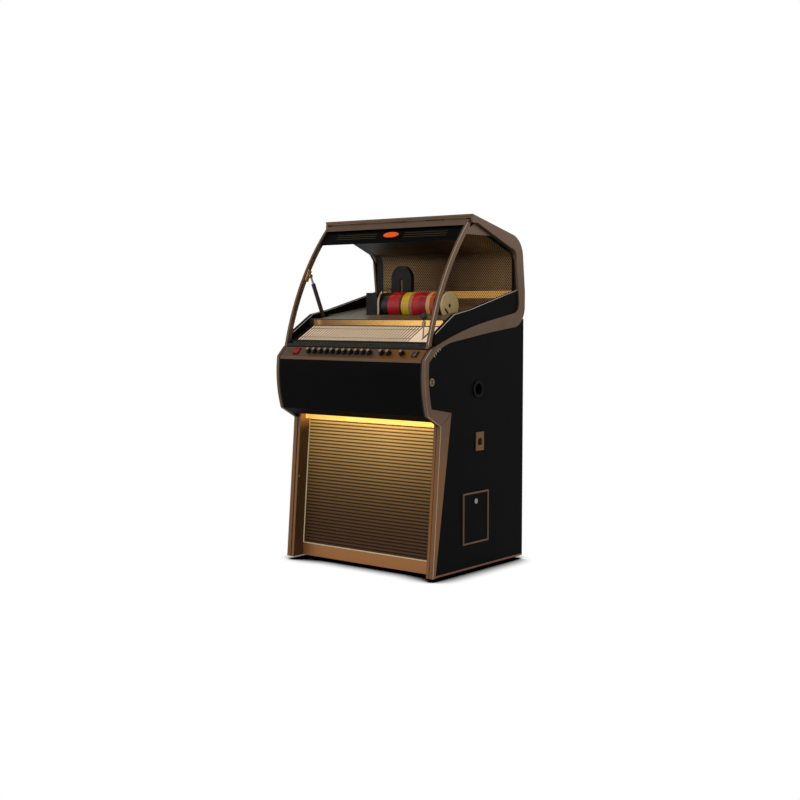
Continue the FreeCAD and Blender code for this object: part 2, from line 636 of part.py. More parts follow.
# Lid frame: two bowed posts, top and bottom rails, a lip before the hinge, and the strut's upper bracket
def lid_frame():
    foot_rear = lid_point(S.lid_foot_height + S.lid_rail, S.lid_depth)
    top_rear_height = S.lid_top_height - S.lid_depth
    post_outline = [
        foot_rear,
        arc_to(lid_point(top_rear_height, S.lid_depth), S.lid_radius - S.lid_depth, RIGHT),
        side(S.hinge_reach, S.lid_top_height),
        lid_point(S.lid_top_height, ZERO),
        arc_to(lid_point(S.lid_foot_height, ZERO), S.lid_radius, LEFT)]
    inner = S.lid_half_width - S.lid_post
    post = on_right(post_outline, inner, S.lid_half_width)
    rail_low = S.lid_top_height - S.lid_rail
    top_rail = across([
        lid_point(S.lid_top_height, ZERO), lid_point(rail_low, ZERO),
        side(S.hinge_reach, rail_low), side(S.hinge_reach, S.lid_top_height)], inner)
    lip_high = S.lid_top_height + S.lid_lip
    lip_rear = S.hinge_reach - S.knuckle_radius - S.lid_lip_gap
    lip = across([
        lid_point(S.lid_top_height, ZERO), side(lip_rear, S.lid_top_height), side(lip_rear, lip_high),
        lid_point(lip_high, ZERO)], S.lid_half_width)
    foot_high = S.lid_foot_height + S.lid_rail
    foot_inside = S.glass_setback + S.glass
    foot_rail = across([
        lid_point(S.lid_foot_height, ZERO), lid_point(S.lid_foot_height, foot_inside),
        lid_point(foot_high, foot_inside), lid_point(foot_high, ZERO)], inner)
    solids = [post, mirrored(post), top_rail, lip, foot_rail]
    for left, barrel in knuckles(1, S.knuckle_radius, knuckle_length):
        solids.append(barrel)
        low = (left, hinge_y - S.hinge_tab, S.foot_height + S.lid_top_height)
        solids.append(box(low, (knuckle_length, S.hinge_tab, S.hinge_height - S.lid_top_height)))
    head_y, head_z = side(S.strut_head_reach, S.strut_head_height)
    bracket = rod(S.strut_eye_radius, inner - S.strut_plane - S.strut_eye / 2 - S.slip * 2,
                  (-inner, head_y, head_z), ALONG_X)
    solids.append(bracket)
    bores = [barrel for left, barrel in
             knuckles(1, S.hinge_pin_radius + S.running_gap, knuckle_length)]
    node(cut(fuse(solids), bores), "lid_frame")


def lid_sheet(low, high, setback, thickness, half_width):
    inner = setback + thickness
    return across([
        lid_point(low, inner), arc_to(lid_point(high, inner), S.lid_radius - inner, RIGHT),
        lid_point(high, setback), arc_to(lid_point(low, setback), S.lid_radius - setback, LEFT)], half_width)


def lid_glazing():
    inner = S.lid_half_width - S.lid_post
    high = S.lid_top_height - S.lid_rail
    low = S.lid_foot_height + S.lid_rail
    node(lid_sheet(low, high, S.glass_setback, S.glass, inner), "lid_glass")
    behind = S.glass_setback + S.glass + S.soft_gap
    node(lid_sheet(high - S.header_height, high, behind, S.header, inner), "lid_header")


# Gas strut: a tube on the lower pin and a rod that slides out of it towards the lid's bracket
strut_run = S.strut_foot_reach - S.strut_head_reach
strut_rise = S.strut_head_height - S.strut_foot_height
strut_length = root(strut_run * strut_run + strut_rise * strut_rise)
strut_lean = Size(math.degrees(math.atan2(strut_run.number, strut_rise.number)),
                  "atan(%s / %s)" % (strut_run.text, strut_rise.text))
strut_tube = strut_length * S.strut_tube_share
strut_rod_length = strut_length * S.strut_rod_share


def gas_strut():
    foot = (-S.strut_plane,) + side(S.strut_foot_reach, S.strut_foot_height)
    half_eye = S.strut_eye / 2
    tube = turned([
        (S.strut_rod_radius + S.running_gap, S.strut_eye_radius), (S.strut_radius, S.strut_eye_radius),
        (S.strut_radius, strut_tube), (S.strut_rod_radius + S.running_gap, strut_tube)])
    plug = rod(S.strut_radius, S.strut_eye_radius, (ZERO, ZERO, S.strut_pin_radius))
    eye = rod(S.strut_eye_radius, S.strut_eye, (-half_eye, ZERO, ZERO), ALONG_X)
    bore = rod(S.strut_pin_radius + S.running_gap, S.strut_eye * 2, (-S.strut_eye, ZERO, ZERO), ALONG_X)
    cylinder = cut(fuse([tube, plug, eye]), [bore])
    node(place(cylinder, foot, ABOUT_X, strut_lean), "strut_cylinder")
    shaft = rod(S.strut_rod_radius, strut_rod_length, (ZERO, ZERO, strut_length - strut_rod_length))
    head = rod(S.strut_eye_radius, S.strut_eye, (-half_eye, ZERO, strut_length), ALONG_X)
    node(place(fuse([shaft, head]), foot, ABOUT_X, strut_lean), "strut_rod")


# Console: a curved black front with a floor, under the sloping control panel
def console_front():
    wall = S.console_wall
    outline = [
        side(floor_front, floor_height), side(S.console_floor_rear, floor_height),
        side(S.console_floor_rear, floor_height + wall), side(floor_front + wall, floor_height + wall),
        side(wall - S.chin_reach, S.chin_height + wall),
        arc_to(side(wall - S.brow_reach, S.brow_height), S.nose_radius - wall, RIGHT), brow,
        arc_to(chin, S.nose_radius, LEFT)]
    node(across(outline, trim_in), "console_front")


# Places on the control panel: x, and a distance up its slope, out along its normal
panel_angle = 45
panel_share = math.sqrt(0.5)
panel_middle = S.panel_run / 2


def panel_point(x, out):
    y, z = side(panel_middle - S.brow_reach, S.brow_height + panel_middle)
    return x, y - out * panel_share, z + out * panel_share


# A block lying on the panel, centred on x: wide across, long up the slope.
def panel_block(x, wide, long, low, high):
    block = box((-wide / 2, -long / 2, low), (wide, long, high - low))
    holder = group([block])
    return place(holder, panel_point(x, ZERO), ABOUT_X, panel_angle)


knob_places = [S.knob_row_start + S.knob_pitch * index for index in range(SIZES["knob_row_count"])]
knob_places += [S.knob_pair_left, S.knob_pair_right, S.knob_single]


def control_panel():
    sheet_drop = S.panel_sheet / panel_share
    outline = [
        brow, side(sheet_drop - S.brow_reach, S.brow_height),
        side(panel_back_reach + sheet_drop - S.panel_sheet, panel_back_height - S.panel_sheet),
        side(S.panel_rear, panel_back_height - S.panel_sheet), side(S.panel_rear, panel_back_height),
        panel_back]
    deep = -S.panel_sheet - S.cut_overrun
    holes = []
    for x in knob_places:
        holes.append(rod(S.knob_shaft_radius + S.running_gap, S.cut_overrun * 2,
                         panel_point(x, -S.cut_overrun), ABOUT_X, panel_angle))
    window = S.rocker_clearance * 2
    holes.append(panel_block(S.rocker_place, S.rocker_width + S.slip * 2, S.rocker_length + window,
                             deep, S.cut_overrun))
    pin = rod(S.rocker_pin_radius + S.running_gap, S.rocker_pin,
              panel_point(S.rocker_place - S.rocker_pin / 2, -S.panel_sheet / 2), ALONG_X)
    holes.append(pin)
    for sign in (-1, 1):
        holes.append(rod(S.jack_radius + S.running_gap, S.cut_overrun * 2,
                         jack_point(sign, -S.cut_overrun), ABOUT_X, panel_angle))
    node(cut(across(outline, trim_in), holes), "control_panel")


def jack_point(sign, out):
    x, y, z = panel_point(S.jack_place, out)
    shift = S.jack_spread / 2 * sign * panel_share
    return x, y + shift, z + shift


def jack_sockets():
    plate = panel_block(S.jack_place, S.jack_width, S.jack_length, ZERO, S.jack_plate)
    barrels = [rod(S.jack_radius, S.jack_barrel + S.jack_plate, jack_point(sign, -S.jack_barrel),
                   ABOUT_X, panel_angle) for sign in (-1, 1)]
    bores = [rod(S.jack_bore, S.jack_barrel, jack_point(sign, S.jack_plate * 2 - S.jack_barrel),
                 ABOUT_X, panel_angle) for sign in (-1, 1)]
    node(cut(fuse([plate] + barrels), bores), "jack_sockets")


def selector_knobs():
    lift = S.knob_travel + S.slip
    rim = lift + S.knob_skirt
    for number, x in enumerate(knob_places, start=1):
        knob = turned([
            (ZERO, lift - S.knob_shaft), (S.knob_shaft_radius, lift - S.knob_shaft),
            (S.knob_shaft_radius, lift), (S.knob_radius, lift), (S.knob_radius, rim),
            (S.knob_cap_radius, rim), (S.knob_cap_radius, rim + S.knob_cap), (ZERO, rim + S.knob_cap)])
        node(place(knob, panel_point(x, ZERO), ABOUT_X, panel_angle), "selector_knob_%02d" % number)


def power_rocker():
    block = panel_block(S.rocker_place, S.rocker_width, S.rocker_length,
                        S.rocker_proud - S.rocker_depth, S.rocker_proud)
    pin = rod(S.rocker_pin_radius, S.rocker_pin - S.slip * 2,
              panel_point(S.rocker_place - S.rocker_pin / 2 + S.slip, -S.panel_sheet / 2), ALONG_X)
    node(fuse([block, pin]), "power_rocker")


# Title display: a black riser behind the panel, a sloping rack and rows of cream title strips
def rack_height(reach):
    slope = (S.rack_rear_height - S.rack_front_height) / (S.rack_rear_reach - display_rear)
    return S.rack_front_height + slope * (reach - display_rear)


display_rear = S.display_reach + S.display


def display_strip():
    low_y, low_z = side(S.display_reach, panel_back_height)
    node(box((-panel_in + S.slip, low_y, low_z),
             (panel_in * 2 - S.slip * 2, S.display, S.display_height - panel_back_height)), "display_strip")


def lever_slot_cut():
    low_y, low_z = side(S.lever_slot_front, S.lever_pivot_height)
    long = S.lever_slot_rear - S.lever_slot_front
    tall = S.rack_rear_height - S.lever_pivot_height + S.cut_overrun
    return box((S.lever_place - S.lever_slot / 2, low_y, low_z), (S.lever_slot, long, tall))


def title_rack():
    thin = S.rack_sheet
    base = across([
        side(display_rear, S.rack_front_height - thin), side(S.rack_rear_reach, S.rack_rear_height - thin),
        side(S.rack_rear_reach, S.rack_rear_height), side(display_rear, S.rack_front_height)], panel_in)
    pivot_y, pivot_z = side(S.lever_pivot_reach, S.lever_pivot_height)
    ear_half = S.lever_ear_width / 2
    ear_high = S.foot_height + rack_height(S.lever_pivot_reach - ear_half)
    ear_tall = ear_high - thin / 2 - pivot_z + ear_half
    ears = []
    for inner in (S.lever_slot / 2, -S.lever_slot / 2 - S.lever_ear):
        low = (S.lever_place + inner, pivot_y - ear_half, pivot_z - ear_half)
        ears.append(box(low, (S.lever_ear, S.lever_ear_width, ear_tall)))
    bore = rod(S.lever_pin_radius + S.running_gap, S.lever_pin * 2,
               (S.lever_place - S.lever_pin, pivot_y, pivot_z), ALONG_X)
    node(cut(fuse([base] + ears), [lever_slot_cut(), bore]), "title_rack")


# One card or strip lying on the rack between two reaches.
def title_card(left, right, front, rear):
    lift = S.strip_thickness
    return extrusion("YZ_Plane", [
        side(front, rack_height(front)), side(rear, rack_height(rear)),
        side(rear, rack_height(rear) + lift), side(front, rack_height(front) + lift)], left, right - left)


def title_strips():
    width = S.strip_pitch * (1 - S.strip_gap_share)
    long = S.strip_rear - S.strip_front
    front_break = S.strip_front + long * S.front_break_share
    rear_break = S.strip_front + long * S.rear_break_share
    rows = [(S.strip_front, front_break - S.strip_break / 2),
            (front_break + S.strip_break / 2, rear_break - S.strip_break / 2),
            (rear_break + S.strip_break / 2, S.strip_rear)]
    solids = []
    for front, rear in rows:
        strip = title_card(S.strip_left, S.strip_left + width, front, rear)
        for index in range(SIZES["strip_count"]):
            solids.append(shifted(strip, S.strip_pitch * index))
    card_left = S.strip_left + S.strip_pitch * SIZES["strip_count"]
    card = title_card(card_left, S.card_right, S.strip_front, S.strip_rear)
    solids.append(cut(card, [lever_slot_cut()]))
    node(group(solids), "title_strips")


# A copy of a piece moved along X.
def shifted(source, distance):
    thing = doc.addObject("App::Link", "copy")
    thing.LinkedObject = source
    thing.LinkTransform = True
    bind(thing, "Placement.Base.x", distance)
    return thing


def title_lever():
    pivot = (S.lever_place,) + side(S.lever_pivot_reach, S.lever_pivot_height)
    stem = rod(S.lever_stem_radius, S.lever_stem, ORIGIN)
    ball = doc.addObject("Part::Sphere", "ball")
    bind(ball, "Radius", S.lever_ball_radius)
    place(ball, (ZERO, ZERO, S.lever_stem + S.lever_ball_radius / 2))
    pin = rod(S.lever_pin_radius, S.lever_pin, (-S.lever_pin / 2, ZERO, ZERO), ALONG_X)
    node(place(fuse([stem, ball, pin]), pivot, ABOUT_X, -S.lever_lean), "title_lever")


# Deck: a sheet rising to the back, with wells for the mechanism and a notch for the strut
def deck_height(reach):
    slope = (S.deck_rear_height - S.deck_front_height) / (S.deck_rear_reach - S.rack_rear_reach)
    return S.deck_front_height + slope * (reach - S.rack_rear_reach)


# A straight-sided hole down through the deck.
def deck_well(left, right, front, rear):
    low_y, low_z = side(front, S.deck_front_height - S.deck_lip)
    return box((left, low_y, low_z), (right - left, rear - front, S.deck_rear_height))


def deck_plate():
    thin = S.deck_sheet
    lip_rear = S.rack_rear_reach + thin
    lip_low = S.deck_front_height - S.deck_lip
    plate = across([
        side(S.rack_rear_reach, lip_low), side(lip_rear, lip_low), side(lip_rear, S.deck_front_height - thin),
        side(S.deck_rear_reach, S.deck_rear_height - thin), side(S.deck_rear_reach, S.deck_rear_height),
        side(S.rack_rear_reach, S.deck_front_height)], panel_in)
    room = S.soft_gap
    wells = [
        deck_well(S.deck_well_left, S.deck_well_right, S.deck_well_front, S.deck_well_rear),
        deck_well(S.tower_left - room, S.tower_right + room, S.tower_front - room,
                  S.tower_front + S.tower_depth + room),
        deck_well(-panel_in - S.cut_overrun, S.strut_notch - panel_in,
                  S.strut_notch_front, S.strut_notch_rear)]
    node(cut(plate, wells), "deck_plate")


def mech_shelf():
    low_y, low_z = side(S.shelf_front, S.shelf_height)
    deep = rear_edge - S.board - S.shelf_front
    node(box((-panel_in, low_y, low_z), (panel_in * 2, deep, S.shelf)), "mech_shelf")


shelf_top = S.shelf_height + S.shelf
drum_y, drum_z = side(S.drum_reach, S.drum_height)
disc_right = S.disc_left + S.disc_pitch * SIZES["disc_count"]


# Disc rack: a long trough with rails for the transfer arch and a cheek at each end
def magazine_rack():
    seat = S.disc_radius + S.soft_gap
    rail_drop = S.drum_height - S.rack_rail_height
    seat_half = root(seat * seat - rail_drop * rail_drop)
    wall = S.rack_wall_half
    outline = [
        side(S.drum_reach - wall, shelf_top), side(S.drum_reach - S.rack_hollow_half, shelf_top),
        side(S.drum_reach - S.rack_hollow_half, S.rack_hollow_height),
        side(S.drum_reach + S.rack_hollow_half, S.rack_hollow_height),
        side(S.drum_reach + S.rack_hollow_half, shelf_top), side(S.drum_reach + wall, shelf_top),
        side(S.drum_reach + wall, S.rack_rail_height), side(S.drum_reach + seat_half, S.rack_rail_height),
        arc_to(side(S.drum_reach - seat_half, S.rack_rail_height), seat, RIGHT),
        side(S.drum_reach - wall, S.rack_rail_height)]
    trough = extrusion("YZ_Plane", outline, S.rack_left, S.rack_right - S.rack_left)
    cheeks = [rod(seat, S.cheek, (left, drum_y, drum_z), ALONG_X)
              for left in (S.disc_left - S.cheek - S.soft_gap, disc_right + S.soft_gap)]
    hole = rod(S.cheek_hole_radius, S.rack_right - S.rack_left, (S.rack_left, drum_y, drum_z), ALONG_X)
    slot = box((disc_right, -S.cheek_slot / 2, -S.cheek_slot_length / 2),
               (S.cheek * 2, S.cheek_slot, S.cheek_slot_length))
    slot_holder = place(group([slot]), (ZERO, drum_y - S.cheek_slot_reach * panel_share,
                                        drum_z - S.cheek_slot_reach * panel_share), ABOUT_X, panel_angle)
    node(cut(fuse([trough] + cheeks), [hole, slot_holder]), "magazine_rack")


def compact_discs():
    disc = cut(rod(S.disc_radius, S.disc_thickness, (S.disc_left, drum_y, drum_z), ALONG_X),
               [rod(S.disc_hole_radius, S.disc_thickness * 2,
                    (S.disc_left - S.disc_thickness / 2, drum_y, drum_z), ALONG_X)])
    discs = [shifted(disc, S.disc_pitch * index) for index in range(SIZES["disc_count"])]
    node(group(discs), "compact_discs")


# Chrome transfer arch, straddling the discs on the rack's rails
def transfer_arch():
    inner = S.arch_radius - S.arch_wall
    crown = S.drum_height + S.arch_rise
    foot = S.rack_rail_height + S.soft_gap
    outline = [
        side(S.drum_reach - S.arch_radius, foot), side(S.drum_reach - inner, foot),
        side(S.drum_reach - inner, crown),
        arc_to(side(S.drum_reach, crown + inner), inner, RIGHT),
        arc_to(side(S.drum_reach + inner, crown), inner, RIGHT),
        side(S.drum_reach + inner, foot), side(S.drum_reach + S.arch_radius, foot),
        side(S.drum_reach + S.arch_radius, crown),
        arc_to(side(S.drum_reach, crown + S.arch_radius), S.arch_radius, LEFT),
        arc_to(side(S.drum_reach - S.arch_radius, crown), S.arch_radius, LEFT)]
    node(extrusion("YZ_Plane", outline, S.arch_left, S.arch_width), "transfer_arch")


def player():
    low_y, low_z = side(S.player_front, shelf_top)
    housing = box((S.player_left, low_y, low_z), (S.player_right - S.player_left,
                  S.player_rear - S.player_front, S.player_top - shelf_top))
    bore = rod(S.spindle_radius + S.running_gap, S.spindle_shaft + S.slip,
               (S.player_right - S.spindle_shaft - S.slip, drum_y, drum_z), ALONG_X)
    node(cut(housing, [bore]), "player_housing")
    spindle = turned([
        (ZERO, -S.spindle_shaft), (S.spindle_radius, -S.spindle_shaft), (S.spindle_radius, S.spindle_gap),
        (S.spindle_hub_radius, S.spindle_gap), (S.spindle_hub_radius, S.spindle_gap + S.spindle_hub / 3),
        (S.cheek_hole_radius, S.spindle_gap + S.spindle_hub / 3),
        (S.cheek_hole_radius, S.spindle_gap + S.spindle_hub), (ZERO, S.spindle_gap + S.spindle_hub)])
    node(place(spindle, (S.player_right, drum_y, drum_z), ALONG_X, 90), "player_spindle")


# Arched mechanism tower with a slot down its face
def mech_tower():
    radius = (S.tower_right - S.tower_left) / 2
    middle = (S.tower_right + S.tower_left) / 2
    front_y, low_z = side(S.tower_front, shelf_top)
    spring_z = S.foot_height + S.tower_top - radius
    outline = [
        (S.tower_left, low_z), (S.tower_right, low_z), (S.tower_right, spring_z),
        (middle, spring_z + radius, radius, LEFT), (S.tower_left, spring_z, radius, LEFT)]
    tower = extrusion("XZ_Plane", outline, -front_y - S.tower_depth, S.tower_depth)
    slot = box((middle - S.tower_slot_width / 2, front_y - S.cut_overrun, S.foot_height + S.tower_slot_low),
               (S.tower_slot_width, S.cut_overrun + S.tower_slot_depth, S.tower_slot_high - S.tower_slot_low))
    node(cut(tower, [slot]), "mech_tower")


# Mesh lining at the back of the canopy, bent forwards under the roof
def back_wall():
    thin = S.wall_sheet
    outline = [
        side(S.wall_reach, S.wall_foot), side(S.wall_reach + thin, S.wall_foot),
        side(S.wall_reach + thin, S.wall_bend_height),
        arc_to(side(S.wall_top_reach, S.wall_top_height + thin), S.wall_bend_radius, LEFT),
        side(S.wall_front, S.wall_front_height + thin), side(S.wall_front, S.wall_front_height),
        side(S.wall_top_reach - thin, S.wall_top_height),
        arc_to(side(S.wall_reach, S.wall_bend_height), S.wall_bend_radius - thin, RIGHT)]
    node(across(outline, panel_in), "back_wall")


# Rear board with vent slots and an opening for the mains inlet
def rear_panel():
    front_y, low_z = side(rear_edge - S.board, ZERO)
    tip_height = S.rear_low_height - S.rear_low_radius * tip_down_share
    board = box((-panel_in, front_y, low_z), (panel_in * 2, S.board, tip_height))
    through = S.board + S.cut_overrun * 2
    openings = [
        box((-S.rear_vent_width / 2, front_y - S.cut_overrun,
             S.foot_height + S.rear_vent_low + S.rear_vent_pitch * index),
            (S.rear_vent_width, through, S.rear_vent)) for index in range(SIZES["rear_vent_count"])]
    openings.append(box((-S.inlet_width / 2, front_y - S.cut_overrun, S.foot_height + S.board + S.inlet_low),
                        (S.inlet_width, through, S.inlet_height)))
    node(cut(board, openings), "rear_panel")


def amplifier():
    rear_y, low_z = side(rear_edge - S.board, S.board)
    chassis = box((-S.amplifier_width / 2, rear_y - S.amplifier_depth, low_z),
                  (S.amplifier_width, S.amplifier_depth, S.amplifier_height))
    sheet_wall = S.amplifier_sheet
    hollow = box((-S.amplifier_width / 2 + sheet_wall, rear_y - S.amplifier_depth - S.cut_overrun,
                  low_z + sheet_wall),
                 (S.amplifier_width - sheet_wall * 2, S.amplifier_depth + S.cut_overrun - sheet_wall,
                  S.amplifier_height - sheet_wall * 2))
    transformer = box((S.amplifier_width / 2 - S.transformer_inset - S.transformer_width,
                       rear_y - S.amplifier_depth + S.transformer_inset, low_z),
                      (S.transformer_width, S.transformer_depth, S.transformer_height))
    inlet = box((-S.inlet_width / 2, rear_y, low_z + S.inlet_low), (S.inlet_width, S.board, S.inlet_height))
    wall = S.inlet_wall
    pocket = box((-S.inlet_width / 2 + wall, rear_y + S.board - S.inlet_pocket, low_z + S.inlet_low + wall),
                 (S.inlet_width - wall * 2, S.inlet_pocket + S.cut_overrun, S.inlet_height - wall * 2))
    node(cut(fuse([cut(chassis, [hollow]), transformer, inlet]), [pocket]), "amplifier")


kick_rear = S.kick_front + S.kick_depth


def base():
    front_y, low_z = side(kick_rear, ZERO)
    deep = rear_edge - S.board - kick_rear
    node(box((-panel_in, front_y, low_z), (panel_in * 2, deep, S.board)), "base_board")
    rail_y, rail_z = side(S.kick_front, ZERO)
    post_in = panel_in - S.post_width
    node(box((-post_in, rail_y, rail_z), (post_in * 2, S.kick_depth, S.kick_height)), "kick_rail")
    feet = []
    for x in (S.foot_inset - panel_in, panel_in - S.foot_inset):
        for reach in (kick_rear + S.foot_inset, rear_edge - S.foot_inset):
            y, z = side(reach, ZERO)
            pad = rod(S.foot_radius, S.foot_pad, (x, y, ZERO))
            stem = rod(S.foot_stem_radius, S.foot_height, (x, y, ZERO))
            feet.append(fuse([pad, stem]))
    node(group(feet), "levelling_feet")


# A leaning board behind the lower front, between two setbacks and two heights.
def leaning_board(low, high, front, rear, half_width):
    return across([
        side(leaning(low) + front, low), side(leaning(low) + rear, low),
        side(leaning(high) + rear, high), side(leaning(high) + front, high)], half_width)


baffle_front = S.recess + S.grille
baffle_rear = baffle_front + S.board
lean_angle = Size(math.degrees(math.atan2(S.lean.number, S.knee_height.number)),
                  "atan(dims.lean / dims.knee_height)")


def front_posts():
    outline = [
        side(S.post_setback, ZERO), side(baffle_front, ZERO),
        side(leaning(floor_height) + baffle_front, floor_height),
        side(leaning(floor_height) + S.post_setback, floor_height)]
    right = on_right(outline, panel_in - S.post_width, panel_in)
    node(group([right, mirrored(right)]), "front_posts")


# Ribbed speaker grille: round ribs down the front of a leaning panel
def speaker_grille():
    ribs = SIZES["grille_ribs"]
    low, high = S.kick_height, S.knee_height
    pitch = (high - low) / ribs
    chord = root(pitch * pitch + leaning(pitch) * leaning(pitch))
    radius = chord * chord / (S.grille_rib_depth * 8) + S.grille_rib_depth / 2
    corners = [side(leaning(low) + S.recess + S.grille, low), side(leaning(high) + S.recess + S.grille, high),
               side(leaning(high) + S.recess, high)]
    for index in range(1, ribs + 1):
        height = high - pitch * index
        corners.append(arc_to(side(leaning(height) + S.recess, height), radius, LEFT))
    node(across(corners, panel_in - S.post_width), "speaker_grille")


# A point on the leaning baffle's rear face, moved out along its normal.
def baffle_point(x, height, out):
    y, z = side(leaning(height) + baffle_rear, height)
    slant = root(S.lean * S.lean + S.knee_height * S.knee_height)
    return x, y + out * S.knee_height / slant, z - out * S.lean / slant


def speakers():
    board = leaning_board(S.kick_height, S.knee_height, baffle_front, baffle_rear, panel_in)
    back_angle = lean_angle + Size(90, "90 deg")
    holes = []
    woofers = []
    for x in (-S.woofer_place, S.woofer_place):
        holes.append(rod(S.baffle_hole_radius, S.board * 4, baffle_point(x, S.woofer_height, -S.board * 2),
                         ALONG_BACK, back_angle))
        cone_back = S.woofer_basket - S.woofer_wall
        woofer = turned([
            (ZERO, cone_back), (S.woofer_back_radius - S.woofer_wall, cone_back),
            (S.baffle_hole_radius - S.woofer_wall, ZERO), (S.woofer_radius, ZERO),
            (S.woofer_radius, S.woofer_flange), (S.baffle_hole_radius, S.woofer_flange),
            (S.woofer_back_radius, S.woofer_basket), (S.magnet_radius, S.woofer_basket),
            (S.magnet_radius, S.woofer_basket + S.magnet), (ZERO, S.woofer_basket + S.magnet)])
        woofers.append(place(woofer, baffle_point(x, S.woofer_height, ZERO), ALONG_BACK, back_angle))
    node(cut(board, holes), "speaker_baffle")
    node(group(woofers), "woofers")


# Light bar under the console floor, in front of the top of the grille
def grille_light():
    y, z = side(S.light_front, floor_height - S.light_height)
    half_width = panel_in - S.post_width - S.light_end_gap
    node(box((-half_width, y, z), (half_width * 2, S.light_depth, S.light_height)), "grille_light")


# Round coin bezel on the right side, with a slotted disc deep in its bore
def coin_entry():
    y, z = side(S.coin_reach, S.coin_height)
    flange = rod(S.coin_radius, S.coin_flange, (panel_out, y, z), ALONG_X)
    tube = rod(S.coin_tube_radius, S.coin_tube, (panel_out - S.coin_tube, y, z), ALONG_X)
    bore = rod(S.coin_bore_radius, S.coin_tube, (panel_out - S.coin_tube / 2, y, z), ALONG_X)
    slot = box((panel_out - S.coin_tube * 2, y - S.coin_slot / 2, z - S.coin_slot_height / 2),
               (S.coin_tube * 2, S.coin_slot, S.coin_slot_height))
    node(cut(fuse([flange, tube]), [bore, slot]), "coin_entry")


# Coin return plate with an arched mouth and a cup behind it
def coin_return():
    plate_y, plate_z = side(S.return_reach - S.return_width / 2, S.return_height - S.return_tall / 2)
    plate = box((panel_out, plate_y, plate_z), (S.return_plate, S.return_width, S.return_tall))
    wall = S.return_cup
    cup_y, cup_z = side(S.return_reach - S.return_mouth / 2 - wall, S.return_mouth_low - wall)
    outer = S.return_mouth + wall * 2
    cup = box((panel_out - S.return_depth, cup_y, cup_z), (S.return_depth, outer, outer))
    radius = S.return_mouth / 2
    spring = S.return_mouth_low + radius
    mouth = on_right([
        side(S.return_reach - radius, S.return_mouth_low), side(S.return_reach + radius, S.return_mouth_low),
        side(S.return_reach + radius, spring), arc_to(side(S.return_reach, spring + radius), radius, LEFT),
        arc_to(side(S.return_reach - radius, spring), radius, LEFT)],
        panel_out - S.return_depth + wall, panel_out + S.cut_overrun)
    node(cut(fuse([plate, cup]), [mouth]), "coin_return")


# Cash compartment: a bronze frame on the side board, a steel liner behind it, and a hinged door
opening_wide = S.cash_width - S.cash_line * 2
opening_tall = S.cash_tall - S.cash_line * 2
door_out = panel_out + S.cash_frame - S.door_setback
door_in = door_out - S.door
pin_x = door_out - S.door / 2
door_rear = S.cash_reach + opening_wide / 2 - S.door_gap
door_low = S.cash_height - opening_tall / 2 + S.door_gap
door_high = S.cash_height + opening_tall / 2 - S.door_gap


def cash_block(inner, outer, wide, tall):
    y, z = side(S.cash_reach - wide / 2, S.cash_height - tall / 2)
    return box((inner, y, z), (outer - inner, wide, tall))


def door_pins(radius, depth, spare):
    y, low_z = side(door_rear - S.door_pin_inset, door_low - S.door_gap)
    high_z = S.foot_height + door_high + S.door_gap - depth
    return [rod(radius, depth + spare, (pin_x, y, z)) for z in (low_z - spare, high_z)]


def cash_compartment():
    wall = S.cash_wall * 2
    face = panel_out + S.cash_frame
    frame = cash_block(panel_out, face, S.cash_width, S.cash_tall)
    liner = cash_block(panel_out - S.cash_depth, panel_out, opening_wide + wall, opening_tall + wall)
    hollow_in = panel_out - S.cash_depth + S.cash_wall
    hollow = cash_block(hollow_in, face + S.cut_overrun, opening_wide, opening_tall)
    shell = cut(fuse([frame, liner]), [hollow])
    pins = door_pins(S.door_pin_radius, S.door_pin + S.door_gap, S.cash_wall / 2)
    node(fuse([shell] + pins), "cash_compartment")


lock_y, lock_z = side(S.cash_reach, S.door_lock_height)


def cash_door():
    wide = opening_wide - S.door_gap * 2
    tall = opening_tall - S.door_gap * 2
    leaf = cash_block(door_in, door_out, wide, tall)
    bore = rod(S.lock_radius + S.running_gap, S.door + S.cut_overrun * 2,
               (door_in - S.cut_overrun, lock_y, lock_z), ALONG_X)
    sockets = door_pins(S.door_pin_radius + S.running_gap, S.door_pin + S.door_gap + S.slip, S.slip)
    node(cut(leaf, [bore] + sockets), "cash_door")


# A key lock: head, barrel and cam, turning about X.
def key_lock(label, face, thickness, radius, head_radius, y, z):
    head = rod(head_radius, S.lock_head, (face, y, z), ALONG_X)
    barrel = rod(radius, thickness + S.lock_tail, (face - thickness - S.lock_tail, y, z), ALONG_X)
    cam_low = (face - thickness - S.lock_tail, y - S.lock_cam_width / 2, z - S.lock_cam_length)
    cam = box(cam_low, (S.lock_cam, S.lock_cam_width, S.lock_cam_length))
    key = box((face + S.lock_head - S.lock_key_depth, y - S.lock_key_slot / 2, z - radius / 2),
              (S.lock_key_depth * 2, S.lock_key_slot, radius))
    node(cut(fuse([head, barrel, cam]), [key]), label)


def locks():
    key_lock("cash_door_lock", door_out, S.door, S.lock_radius, S.lock_head_radius, lock_y, lock_z)
    y, z = side(S.side_lock_reach, S.side_lock_height)
    key_lock("side_lock", panel_out, S.board, S.side_lock_radius, S.side_lock_head_radius, y, z)


side_trims()
side_panels()
window_frames()
window_aprons()
side_windows()
roof_cap()
lid_hinge()
lid_frame()
lid_glazing()
gas_strut()
console_front()
control_panel()
jack_sockets()
selector_knobs()
power_rocker()
display_strip()
title_rack()
title_strips()
title_lever()
deck_plate()
mech_shelf()
magazine_rack()
compact_discs()
transfer_arch()
player()
mech_tower()
back_wall()
rear_panel()
amplifier()
base()
front_posts()
speaker_grille()
speakers()
grille_light()
coin_entry()
coin_return()
cash_compartment()
cash_door()
locks()

